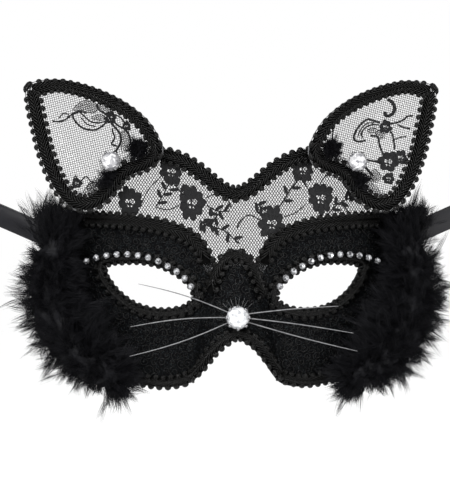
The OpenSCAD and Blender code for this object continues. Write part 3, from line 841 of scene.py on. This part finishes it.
def make_braids():
    """The braids along the crown, the brows, the nose, the lower edge, the eyes and the ears."""

    def piece(name, node, parts, side=1):
        cords, web = parts
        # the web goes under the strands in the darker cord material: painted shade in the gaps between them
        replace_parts(mesh(name, cords, "gimp_braid", side=side, under=web), node)

    piece("braid_crown", "crown_braid", braid_parts(across(CROWN_LINE), side_y, LACE, 8.2))
    lower = [(x * 0.985, z - (0.9 if x < 0 else 0.2)) for x, z in across(LOWER_LINE)]
    piece("braid_lower", "lower_braid", braid_parts(lower, face_y, FRONT, 6.8))
    piece("braid_arch", "nose_arch_braid", braid_parts(across(ARCH_LINE[::-1]), face_y, LACE, 7.0))
    eye_line = inset(EYE_EDGE, -1.75)
    ear_line = inset(spline(EAR, 6, True), lambda p: 2.7 * ear_share(p))
    for name, side in SIDES.items():
        piece(f"braid_brow_{name}", f"brow_braid_{name}", braid_parts(BROW_LINE, side_y, LACE, 8.2), side)
        piece(f"braid_eye_{name}", f"eye_braid_{name}", braid_parts(eye_line, side_y, FRONT, 6.3, True), side)
        piece(f"braid_ear_{name}", f"ear_braid_{name}",
              braid_parts(ear_line, ear_y, LACE_T, 9.0, True, ear_share), side)


# ---- lace ----

CROWN_NET = dict(ways=(math.radians(58), math.radians(-53)), step=1.0, radius=0.195)
EAR_NET = dict(ways=(math.radians(78), math.radians(-14)), step=0.92, radius=0.13)
PATCH_NET = dict(ways=(math.radians(35), math.radians(-60)), step=0.62, radius=0.13)


def net_parts(surface, lift, outline, ways, step, radius):
    """Net strands in two directions, laid on a surface and cut off at the outline."""
    low, high = outline.min(axis=0), outline.max(axis=0)
    centre = (low + high) / 2
    reach = np.linalg.norm(high - low) / 2
    parts = []
    for way in ways:
        d = np.array([math.cos(way), math.sin(way)])
        n = np.array([-d[1], d[0]])
        for offset in np.arange(-reach, reach, step):
            s = np.arange(-reach, reach, 0.35)
            wave = 0.12 * step * np.sin(2 * np.pi * s / (step * 2.2) + offset * 9)
            flat = centre + n * (offset + wave[:, None]) + d * s[:, None]
            keep = inside(flat, outline)
            if not keep.any():
                continue
            edges = np.flatnonzero(np.diff(np.concatenate([[0], keep.astype(int), [0]])))
            for a, b in zip(edges[::2], edges[1::2]):
                run = flat[a:b][::3]
                if len(run) > 1:
                    parts += tubes(lay(surface, run, lift), radius, 3, caps=False)
    return parts


def petal(centre, along, wide, angle, n=14):
    """An oval with its long axis at an angle."""
    a = np.linspace(0, 2 * np.pi, n, endpoint=False)
    x, z = along * np.cos(a), wide * np.sin(a)
    c, s = math.cos(angle), math.sin(angle)
    return centre + np.stack([x * c - z * s, x * s + z * c], -1)


def patch_parts(surface, lift, flat, edge):
    """A woven patch: a flat-topped leaf or petal with a cord round it."""
    n = len(flat)
    centre = flat.mean(axis=0)
    layers = [lay(surface, centre + (flat - centre) * share, lift + high)
              for share, high in ((1.0, 0.10), (0.66, 0.16), (0.33, 0.2))]
    v = np.vstack(layers + [lay(surface, centre[None], lift + 0.2)])
    j = np.arange(n)
    tris = np.stack([2 * n + j, 2 * n + (j + 1) % n, np.full(n, 3 * n)], -1)
    return [(v, ring_quads(3, n), tris)] + closed_tube(lay(surface, flat, lift + 0.16), edge, 5)


def flower_parts(surface, lift, x, z, size, angle, lobes=9, tall=1.3):
    """A woven flower: one patch with a lobed edge and open eyes, cords round it and between its lobes."""
    a = np.linspace(0, 2 * np.pi, 90, endpoint=False)
    r = size * (0.74 + 0.26 * np.abs(np.cos(lobes / 2 * a + angle)) ** 0.8 * (1 + 0.35 * np.cos(2.6 * a + x))
                + 0.05 * np.cos(3 * a + x))
    middle = np.array([x, z])
    wide = np.array([1.0, tall])
    edge = middle + np.stack([r * np.cos(a), r * np.sin(a)], -1) * wide
    eyes = [(-0.22, 0.06, 0.15), (0.2, 0.04, 0.2), (-0.16, -0.34, 0.09), (0.14, -0.38, 0.08)]
    holes = [petal(middle + size * np.array(spot), size * share, size * share * 1.2, angle, 10)
             for *spot, share in eyes]
    eye = petal(middle + size * np.array(eyes[1][:2]), size * 0.1, size * 0.1, 0, 10)
    flat, tris = filled(edge, holes, max(0.5, size * 0.11))
    parts = slab(flat, tris, surface, lift - 0.05, lift + 0.22)
    parts += closed_tube(lay(surface, edge, lift + 0.2), 0.15, 5)
    parts += closed_tube(lay(surface, eye, lift + 0.15), 0.13, 5)
    for k in range(lobes):
        b = (2 * math.pi * (k + 0.5) - 2 * angle) / lobes
        line = middle + np.outer(np.linspace(0.38, 0.74, 5) * size, (math.cos(b), tall * math.sin(b)))
        parts += tubes(lay(surface, line, lift + 0.24), 0.13, 5)
    return parts


def cord_parts(surface, lift, points, thick, step=0.8, sides=5):
    """A cord through the points."""
    return tubes(lay(surface, resample(spline(points, 8), step), lift), thick, sides)


def stem_parts(surface, lift, points, leaves=4, leaf=2.3):
    """A stem through the points, with leaves to both sides."""
    parts = cord_parts(surface, lift + 0.3, points, 0.34)
    line = resample(spline(points, 8), 0.8)
    for k in range(leaves):
        at = int((k + 1) / (leaves + 1) * (len(line) - 1))
        d = line[min(at + 1, len(line) - 1)] - line[at - 1]
        a = math.atan2(d[1], d[0]) + (0.9 if k % 2 else -0.9)
        spot = line[at] + leaf * 0.9 * np.array([math.cos(a), math.sin(a)])
        parts += patch_parts(surface, lift + 0.1, petal(spot, leaf * 0.8, leaf * 0.27, a, 10), 0.2)
    return parts


CROWN_FLOWERS = [(-18.2, 34.6, 5.7, 0.2), (15.4, 26, 5.6, 1.3), (36.6, 36.7, 5.4, 0.5),
                 (-26.8, 47.7, 4.6, 0.9), (28.9, 48.5, 4.4, 0.4), (-44, 35, 5.2, 0.7), (-53, 43, 4.2, 0.2),
                 (53, 40, 4.4, 0.9)]
CROWN_STEMS = [[(-12, 33.3), (-8.6, 31.4), (-5.8, 30.8), (-2.4, 31)], [(-6, 30.6), (-7.5, 29.3), (-9.5, 27),
               (-11.3, 24.6)], [(-11.3, 24.6), (-8, 24), (-4.1, 22.4), (-1.5, 20), (1.5, 17.4)], [(-15, 27),
               (-13, 25.5), (-11.3, 24.6)], [(18.4, 32.7), (21.2, 36.5), (23.8, 40.8), (28.1, 45.6)],
               [(-22, 38), (-25, 42), (-26, 44)], [(-33, 33), (-30, 38), (-28, 42)], [(8, 34.5), (10.5, 33),
               (12.5, 31)], [(40, 30), (44, 34), (50, 37)]]
# bare cords of the crown's lace: (radius, points)
CROWN_CORDS = [(0.3, [(36, 42), (38.4, 45.6), (43, 47.6), (46.6, 45.4), (47.4, 41.6)]), (0.26, [(42, 34),
               (46.4, 33.6), (49, 30.4)]), (0.26, [(31.6, 39.4), (29.6, 43), (29, 45)]), (0.24,
               [(20.6, 28.6), (25.6, 30.4), (30, 34)]), (0.3, [(10.2, 27.4), (6, 29.4), (2.6, 27.4),
               (0.6, 24)]), (0.26, [(-23.4, 33.6), (-28, 31.6), (-33, 32.6)]), (0.24, [(-38.6, 35.4),
               (-36, 40.4), (-31, 45.6)]), (0.26, [(-12.6, 36.4), (-8.4, 38), (-4, 36.4), (-1.6, 32.4)])]


def make_crown():
    """The crown's film, its net and the flowers, stems and cords on it."""
    edge = spline(whole(CROWN_HALF), 5, True)
    flat, tris = filled(edge, [], 2.5)
    film = mesh("crown_sheet", slab(flat, tris, face_y, FRONT, FRONT + 0.15), "clear_film")
    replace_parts(film, "crown_film")
    lift = FRONT + FILM_T + 0.05
    net = mesh("crown_net", net_parts(face_y, lift, edge, **CROWN_NET), "lace")
    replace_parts(net, "crown_lace")
    flowers = []
    for x, z, size, angle in CROWN_FLOWERS:
        flowers += flower_parts(face_y, lift, x, z, size, angle)
    for points in CROWN_STEMS:
        flowers += stem_parts(face_y, lift, points)
    for thick, points in CROWN_CORDS:
        flowers += cord_parts(face_y, lift + 0.2, points, thick)
    mesh("crown_flowers", flowers, "lace", "lace_flower")


# Each ear's lace, in the +X side's (x, z): cords (thickness, points), close-woven patches and flowers
# (x, z, size, angle).
EAR_MOTIFS = {
    "left": {
        "cords": [(0.32, [(65.4, 73.4), (68, 71.9), (66.7, 68.9), (63.7, 66.3), (59.4, 65.4), (56, 66.7),
                   (53.2, 69.4)]),
                  (0.24, [(65.4, 73.4), (62.9, 71), (60.3, 68.9), (56.9, 68.4), (53.6, 69.2)]),
                  (0.2, [(64.4, 70.6), (62, 67.9), (58.6, 66.9)]),
                  (0.26, [(76.6, 69.4), (73.2, 69.3), (70.2, 70.6), (68, 72.6), (65.4, 73.4),
                   (62.4, 72.6)]),
                  (0.2, [(74, 70.6), (71.9, 72.7), (69.7, 71.9), (71.4, 69.7)]),
                  (0.36, [(52.2, 69), (51.7, 68), (48.3, 63.7), (47.9, 60.3), (50, 56.4), (53, 54.7)]),
                  (0.3, [(51.3, 66), (51.3, 64.6), (50.4, 62), (51.7, 59.4), (49.4, 58.4)]),
                  (0.3, [(51.8, 70), (49.2, 67.2), (45.3, 64.6), (43.6, 60.3)]),
                  (0.3, [(57.7, 76.6), (57.2, 74), (55, 72.4), (52.6, 70.6)]),
                  (0.24, [(52.6, 75.4), (51.6, 72.4), (48, 70.4), (46.2, 67.8)]),
                  (0.22, [(67.6, 45.3), (66.7, 46.2), (66.1, 43.6)]),
                  (0.22, [(65, 43.4), (62.4, 45.8), (60.3, 43.6), (57.5, 43.2)])],
        "patches": [[(68, 74), (64.6, 77.4), (60.3, 77.6), (57.9, 75.7), (57.7, 73.6), (60.3, 72.5),
                     (64.6, 73.8)],
                    [(56.6, 76), (52.8, 75), (52.2, 72.3), (56, 72.9)],
                    [(60.4, 70.4), (56, 69.4), (54, 70.4), (57, 72)],
                    [(48.3, 63.7), (45.3, 64.4), (43.8, 60.3), (43.8, 57.5), (47, 55.5), (47.8, 60)],
                    [(62, 41.4), (60.3, 42.9), (57.7, 43), (55.8, 41.4), (57.7, 39.6), (60.6, 39.4)]],
        "flowers": [(52.2, 70.4, 2.5, 0.4), (66.3, 42.9, 2.2, 0.2), (45.6, 66.6, 2.0, 1.0)]},
    "right": {
        "cords": [(0.34, [(62.5, 68.9), (59.5, 69.7), (56.9, 70.2), (53.5, 67.6), (51.3, 64.2), (50.9, 62),
                   (52.6, 60.7), (56.1, 61.2)]),
                  (0.26, [(62, 68), (59.1, 68), (56.1, 66.7), (54.3, 64.2), (54.8, 62.4)]),
                  (0.2, [(60, 68.9), (56.6, 68.4), (53.8, 65.6), (52.6, 62.6)]),
                  (0.55, [(66.3, 79), (68.5, 77.4), (69.3, 74.9), (68.1, 72.7), (65.5, 71.9),
                   (64.8, 73.6)]),
                  (0.3, [(66.3, 68.4), (70.6, 69.3), (73.6, 70.6), (74.9, 71.9), (77.5, 72.3)]),
                  (0.26, [(70.6, 68.4), (73.2, 67.2), (76.2, 66.7)]),
                  (0.3, [(67.2, 65), (68.1, 64.6), (68.9, 61.2), (69.3, 57.7)]),
                  (0.22, [(69.3, 62), (71.9, 62.9), (74.5, 63.3)]),
                  (0.32, [(58.6, 63.3), (61.6, 62.9), (62.5, 59.4), (64.2, 55.2)]),
                  (0.34, [(55.2, 53.4), (59.1, 52.6), (62.5, 52.2)]),
                  (0.4, [(55, 51), (57.4, 48.6), (59.6, 46.2)]),
                  (0.26, [(40.8, 60), (41.4, 65), (40.6, 66)])],
        "patches": [[(63.4, 66), (60.6, 64.6), (62.4, 62.4), (65, 63)],
                    [(57, 65.6), (59.6, 66.8), (61.6, 65.6), (58.6, 64.4)],
                    [(58.2, 46.6), (60.4, 49), (63, 46), (60.6, 43.4)]],
        "flowers": [(66.3, 52.4, 4.5, 0.5), (71.8, 54.2, 3.2, 0.2), (65.2, 67.2, 2.9, 0.9),
                    (66.4, 45.2, 2.6, 0.3)]},
}


EAR_CORD = 1.45                  # an ear cord's radius as a share of its thickness in the list


def make_ears():
    """Each ear's film, its net and the cords, flowers and patches on it."""
    edge = spline(EAR, 5, True)
    rim = resample(edge, 1.0, True)
    film_edge = rim + 0.5 * outward(rim)
    flat, tris = filled(film_edge, [], 2.0)
    for name, side in SIDES.items():
        film = mesh(f"ear_sheet_{name}", slab(flat, tris, ear_y, -FILM_T, -0.2), "clear_film", side=side)
        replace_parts(film, f"ear_film_{name}")
        # the film's rim: a thin tube in opaque grey filament, a real edge with a painted highlight along it
        mesh(f"ear_film_rim_highlight_{name}", closed_tube(lay(ear_y, film_edge, -0.25), 0.22, 6), "clear_film",
             "clear_filament", side=side)
        net = mesh(f"ear_net_{name}", net_parts(ear_y, 0.1, edge, **EAR_NET), "lace", side=side)
        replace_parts(net, f"ear_lace_{name}")
        motifs = EAR_MOTIFS[name]
        parts = []
        for thick, points in motifs["cords"]:
            parts += cord_parts(ear_y, 0.25, points, EAR_CORD * thick, 0.7, 6)
        for x, z, size, angle in motifs["flowers"]:
            parts += flower_parts(ear_y, 0.1, x, z, size, angle, lobes=6, tall=1.0)
        for points in motifs["patches"]:
            patch = spline(points, 6, True)
            parts += net_parts(ear_y, 0.2, patch, **PATCH_NET)
            parts += closed_tube(lay(ear_y, resample(patch, 0.7, True), 0.25), 0.16, 5)
        mesh(f"ear_flowers_{name}", parts, "lace", "lace_flower", side=side)
        carry(f"ear_pad_{name}")


# ---- stones ----

def gem_part(d, h, facets):
    """A cut stone with its base at z = 0: girdle, two rows of facets and a table."""
    layers = []
    for share, high, shift in ((1.0, 0.0, 0.0), (1.0, 0.18, 0.0), (0.80, 0.62, 0.5), (0.50, 0.95, 0.0)):
        a = 2 * np.pi * (np.arange(facets) + shift) / facets
        r = share * d / 2
        layers.append(np.stack([r * np.cos(a), r * np.sin(a), np.full(facets, high * h)], -1))
    n = facets
    j = np.arange(n)
    q = (j + 1) % n
    corners = [(n + j, n + q, 2 * n + j), (n + q, 2 * n + q, 2 * n + j), (2 * n + j, 3 * n + q, 3 * n + j),
               (2 * n + j, 2 * n + q, 3 * n + q), (q, j, np.full(n, 4 * n))]
    tris = np.vstack([np.stack(c, -1) for c in corners])
    return np.vstack(layers + [[(0, 0, 0)]]), ring_quads(2, n), tris, np.array([3 * n + j])


def claw_parts(d, h, claws):
    """A foil cup with claws bent over the stone's girdle, with its base at z = 0."""
    a = np.linspace(0, 2 * np.pi, 33)[:-1]
    parts = []
    for r, z, thick in ((d / 2 * 0.98, 0.22 * h, 0.2), (d / 2 * 1.04, 0.8 * h, 0.16)):
        line = np.stack([r * np.cos(a), r * np.sin(a), np.full_like(a, z)], -1)
        parts += closed_tube(line, thick, 6, up=(0, 0, 1))
    for k in range(claws):
        b = 2 * np.pi * k / claws
        way = np.array([math.cos(b), math.sin(b)])
        line = np.array([(*(way * d / 2 * out), z * h) for out, z in ((1.04, 0.2), (1.08, 1), (0.92, 1.5))])
        parts += tubes(line, 0.09 * d, 5, up=(way[1], -way[0], 0.01))
    return parts


def facing(points, spot, out):
    """Points with z as their height, stood on a spot along a direction out of it."""
    out = unit(np.asarray(out, float))
    u = unit(np.cross([0, 0, 1.0], out))
    v = np.cross(out, u)
    return np.asarray(spot) + points[..., :1] * u + points[..., 1:2] * v + points[..., 2:3] * out


def set_stones(spots, outs, d, h, cup_h, claws, facets):
    """Parts of stones and of their cups, one of each at every spot."""
    stones, cups = [], []
    v, *faces = gem_part(d, h, facets)
    for spot, out in zip(spots, outs):
        stones.append((facing(v + [0, 0, cup_h * 0.7], spot, out), *faces))
        cups += [(facing(p, spot, out), *f) for p, *f in claw_parts(d, cup_h, claws)]
    return stones, cups


def make_stones():
    """The stones along the brows, on the ears and on the nose, each in its cup."""
    line = resample(spline(STONE_LINE, 8), 0.1)
    run = (np.arange(STONE_COUNT) + 0.5) / STONE_COUNT * (len(line) - 1)
    flat = line[np.round(run).astype(int)]
    spots = lay(side_y, flat, FRONT + BRAID_T)
    outs = normals(side_y, flat, FRONT + BRAID_T)
    rows = set_stones(spots, outs, STONE_D * 0.92, 1.5, CUP_H, 4, 8)
    ears = set_stones([EAR_STONE], [(0.1, -1, 0.05)], EAR_STONE_D, 3.0, 1.0, 6, 12)
    nose = set_stones([(0, NOSE_CUP_Y, HUB_Z)], [(0, -1, 0)], NOSE_STONE_D, 3.4, 1.4, 8, 16)

    def pieces(names, nodes, parts, material, side=1):
        gem = mesh(names[0], parts[0], "clear_stone", material, side=side, smooth=False)
        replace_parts(gem, nodes[0])
        cup = mesh(names[1], parts[1], "stone_foil", side=side)
        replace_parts(cup, nodes[1])

    for name, side in SIDES.items():
        pieces((f"eye_stones_{name}", f"eye_stone_cups_{name}"), (f"stones_{name}", f"stone_cups_{name}"),
               rows, "clear_stone", side)
        pieces((f"ear_gem_{name}", f"ear_gem_cup_{name}"), (f"ear_stone_{name}", f"ear_stone_cup_{name}"),
               ears, "ear_crystal", side)
    pieces(("nose_gem", "nose_gem_cup"), ("nose_stone", "nose_stone_cup"), nose, "nose_crystal")
    carry("whisker_hub")


# ---- whiskers ----

BRISTLES = [52, 78, 104, 130, 232, 256, 284, 308]


def make_whiskers():
    """Three whiskers to each side, each on its own body, and a tuft of short bristles over the nose."""
    t = np.linspace(0, 1, 24)
    for name, side in SIDES.items():
        for place, (word, (angle, long)) in enumerate(zip(("upper", "middle", "lower"), WHISKERS[name])):
            a = math.radians(angle)
            root = np.array([ROOT_X, MID_ROOT_Y if place == 1 else ROOT_Y, HUB_Z + (1 - place) * ROOT_STEP])
            bow = (1.3 if side < 0 else 0.5) * np.sin(np.pi * t) * (1 if place < 2 else -1)
            out = long * t
            path = root + np.stack([out * math.cos(a) - bow * math.sin(a), 0 * t - 0.25 * np.sin(np.pi * t),
                                    out * math.sin(a) + bow * math.cos(a)], -1)
            thick = WHISKER_D / 2 * np.interp(t, [0, 0.7, 1], [0.72, 0.62, 0.35])
            piece = mesh(f"whisker_{name}_{word}_hair", tubes(path, thick, 8), "clear_filament",
                         body=f"whisker_{name}_{word}", side=side)
            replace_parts(piece, f"whisker_{name}_{word}")
    share = np.linspace(0, 1, 6)
    root = np.array([0, (ROOT_Y + MID_ROOT_Y) / 2, HUB_Z])
    paths = []
    for angle in np.radians(BRISTLES):
        reach = 8.4 if angle < np.pi else 4.6
        way = np.array([math.cos(angle), 0, math.sin(angle)])
        for spread in (-0.14, 0.12):
            tip = way + spread * np.array([-way[2], 0, way[0]])
            paths.append(root + np.outer(np.linspace(1, reach, 6), tip) + np.outer(share**2, (0, -0.5, 0)))
    bristles = mesh("nose_bristles", tubes(np.array(paths), np.linspace(0.08, 0.03, 6), 5), "clear_filament")
    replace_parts(bristles, "whisker_bristles")


# ---- marabou ----

def frames_along(p):
    """Unit directions along a line, to its side in the front view, and out of it."""
    t = unit(np.gradient(p, axis=0))
    s = unit(np.cross(t, [0, 1.0, 0]))
    return t, s, np.cross(s, t)


def down(roots, ways, lengths, barbs, seed, width=0.15, swell=0.26, clear=None):
    """Feather locks: from each root, barbs that run along a bent shaft, swell out and meet at its tip.
    Each barb is a thin strip. clear moves the barbs' points off what they would run into."""
    local = np.random.default_rng(seed)
    k = len(roots)
    bend = local.normal(size=(k, 3)) * 0.26
    first = local.uniform(0.0, 0.62, (k, barbs))
    last = np.minimum(first + local.uniform(0.3, 0.5, (k, barbs)), local.uniform(0.86, 1.04, (k, barbs)))
    out = unit(np.cross(ways[:, None], local.normal(size=(k, barbs, 3))))
    out *= local.uniform(0.15, 1.0, (k, barbs, 1))
    u = np.array([0, 0.35, 0.7, 1.0])
    at = first[..., None] + (last - first)[..., None] * u
    lengths = lengths[:, None, None]
    room = swell * lengths * at**0.6 * np.maximum(1.06 - at, 0) ** 0.5
    p = (roots[:, None, None] + ways[:, None, None] * (lengths * at)[..., None]
         + bend[:, None, None] * (lengths * at**2)[..., None] + out[:, :, None] * room[..., None])
    p = p.reshape(-1, len(u), 3)
    if clear is not None:
        p = clear(p)
    t = p[:, -1] - p[:, 0]
    w = unit(np.cross(t, local.normal(size=t.shape)))
    wide = w[:, None] * (width * np.array([0.8, 1.0, 0.7, 0.12]) / 2)[None, :, None]
    v = np.stack([p - wide, p + wide], axis=2)
    base = (np.arange(len(p)) * 2 * len(u))[:, None] + (np.arange(len(u) - 1) * 2)[None]
    return [(v, np.stack([base, base + 1, base + 3, base + 2], -1).reshape(-1, 4))]


BOA_LOCKS, CREST_LOCKS, LOBE_LOCKS, CHEEK_LOCKS = 760, 180, 70, 330
BARB = 0.115                     # width of the boa's barbs
LOBE_SPOT = (70, 22, 27)
# each ear's puffs: name, (x, z), number of locks, their shortest and longest, and how far they swell
PUFFS = (("ball", 40.6, 57.2, 420, (2.6, 4.4), 0.5), ("tuft", 53.5, 44.4, 90, (2.6, 5.6), 0.4))


def off_the_mask(p):
    """Keeps down in front of the mask's surface where the mask is behind it."""
    x = np.abs(p[..., 0])
    limit = side_y(np.clip(x, 0, HALF_W), 0, FRONT + 0.3)
    p[..., 1] = np.where(x < HALF_W, np.minimum(p[..., 1], limit), p[..., 1])
    return p


def across_at(s, w, at, angle):
    """Directions square to the boa's line, at places on it and at angles round it."""
    return s[at] * np.cos(angle)[:, None] + w[at] * np.sin(angle)[:, None]


def boa_body(local, spots, s, w, size):
    """A dark lumpy body of down under the locks."""
    n = 28
    lumps = 0.52 + 0.06 * local.normal(size=(len(spots), n))
    lumps[[0, -1]] *= 0.3
    a = 2 * np.pi * np.arange(n) / n
    way = s[:, None] * np.cos(a)[:, None] + w[:, None] * np.sin(a)[:, None]
    ring = way * (size[:, None] * lumps)[..., None]
    return [(off_the_mask((spots[:, None] + ring).reshape(-1, 3)), ring_quads(len(spots), n))]


def boa_locks(local, spots, t, s, w, size, count, reach, seed):
    """Locks that stand out all round the boa, and lean outwards at its ends."""
    at = local.uniform(0, len(spots) - 1, count)
    low = at.astype(int)
    high = np.minimum(low + 1, len(spots) - 1)
    part = (at - low)[:, None]
    middle = spots[low] * (1 - part) + spots[high] * part
    size = size[low] * (1 - part[:, 0]) + size[high] * part[:, 0]
    way = across_at(s, w, low, local.uniform(0, 2 * np.pi, count))
    root = middle + way * (size * local.uniform(0.2, 0.5, count))[:, None]
    way = way + t[low] * local.normal(0, 0.4, (count, 1)) + local.normal(0, 0.2, (count, 3))
    end = np.where(at < 7, -1.0, np.where(at > len(spots) - 6, 1.0, 0.0))[:, None]
    way = unit(way + t[low] * end * local.uniform(0.4, 2.2, (count, 1)))
    length = np.maximum(size, 9.5) * local.uniform(*reach, count) * (1 + 0.35 * np.abs(end[:, 0]))
    return down(root, way, length, 40, seed, width=BARB, swell=0.32, clear=off_the_mask)


def boa_fringe(local, spots, t, s, w, size, seed):
    """The locks that lie apart from the boa's own: four groups of (roots, directions, lengths)."""
    # a crest that stands up beside the ribbon
    n = CREST_LOCKS
    crest = (spots[1] + [3.5, 0, 3.5] + local.normal(0, 1, (n, 3)) * [3.6, 2, 2.4],
             [0.15, 0.05, 1] + local.normal(0, 0.33, (n, 3)), local.uniform(6.5, 12.5, n))
    # short down under the ear's lobe
    n = LOBE_LOCKS
    lobe = (LOBE_SPOT + local.normal(0, 1, (n, 3)) * [2.8, 1.5, 1.5],
            [-0.1, -0.2, 1] + local.normal(0, 0.4, (n, 3)), local.uniform(4, 8, n))
    # a fringe on the cheek, shorter beside the eye
    n = CHEEK_LOCKS
    at = local.integers(8, len(spots), n)
    r = size[at]
    cheek = (spots[at] - s[at] * (r * local.uniform(0.3, 0.75, n))[:, None]
             - w[at] * (r * local.uniform(-0.2, 0.5, n))[:, None],
             -s[at] + t[at] * local.normal(0.15, 0.55, (n, 1)) + local.normal(0, 0.2, (n, 3)),
             r * local.uniform(0.55, 1.15, n) * np.where(np.abs(spots[at, 2]) < 13, 0.55, 1.0))
    # locks that fill the space between the boa and the mask's surface
    at = local.integers(0, len(spots), n)
    r = size[at]
    back = unit(np.stack([-spots[at, 0], FACE_R - spots[at, 1], 0 * r], -1))
    behind = (spots[at] + back * (r * local.uniform(0.2, 0.5, n))[:, None],
              back + local.normal(0, 0.3, (n, 3)), r * local.uniform(0.75, 1.05, n) + 1.5)
    root, way, length = (np.concatenate(group) for group in zip(crest, lobe, cheek, behind))
    return down(root, unit(way), length, 34, seed, width=BARB, swell=0.3, clear=off_the_mask)


def make_puffs(local, name, side):
    """A velvety ball beside the ear's stone, and a wispy tuft under it."""
    for word, x, z, count, long, swell in PUFFS:
        spot = lay(ear_y, np.array([x, z]), 2.2)
        way = unit(local.normal(size=(count, 3)) * [1, 0.6, 1] + [0, -0.25, 0])
        root = spot + local.normal(0, 0.9, (count, 3)) * [1, 0.4, 1]
        locks = down(root, way, local.uniform(*long, count), 24, 31 + count, width=0.14, swell=swell)
        puff = mesh(f"ear_{word}_down_{name}", locks, "marabou", side=side)
        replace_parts(puff, f"ear_{word}_{name}")


def make_boas():
    """The marabou boa on each cheek, and the puffs on each ear."""
    path = spline(BOA, 6)
    size = path[:, 2]
    r = FACE_R + FRONT + BRAID_T + 0.8 + size
    spots = np.stack([path[:, 0], FACE_R - np.sqrt(r * r - path[:, 0] ** 2), path[:, 1]], -1)
    t, s, w = frames_along(spots)
    for name, side in SIDES.items():
        local = np.random.default_rng(11 if side < 0 else 12)
        parts = boa_body(local, spots, s, w, size)
        for word, reach in (("", (0.5, 0.8)), ("_tips", (0.58, 0.92))):
            parts += boa_locks(local, spots, t, s, w, size, BOA_LOCKS, reach, 21 + side + BOA_LOCKS)
            boa = mesh(f"marabou_{name}{word}", parts, "marabou", side=side)
            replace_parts(boa, f"boa_{name}")
            parts = []
        parts = boa_fringe(local, spots, t, s, w, size, 61 + side)
        fringe = mesh(f"marabou_{name}_fringe", parts, "marabou", side=side)
        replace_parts(fringe, f"boa_{name}")
        carry(f"boa_core_{name}")
        make_puffs(local, name, side)


make_mask_body()
make_scrolls()
make_braids()
make_crown()
make_ears()
make_stones()
make_whiskers()
make_boas()
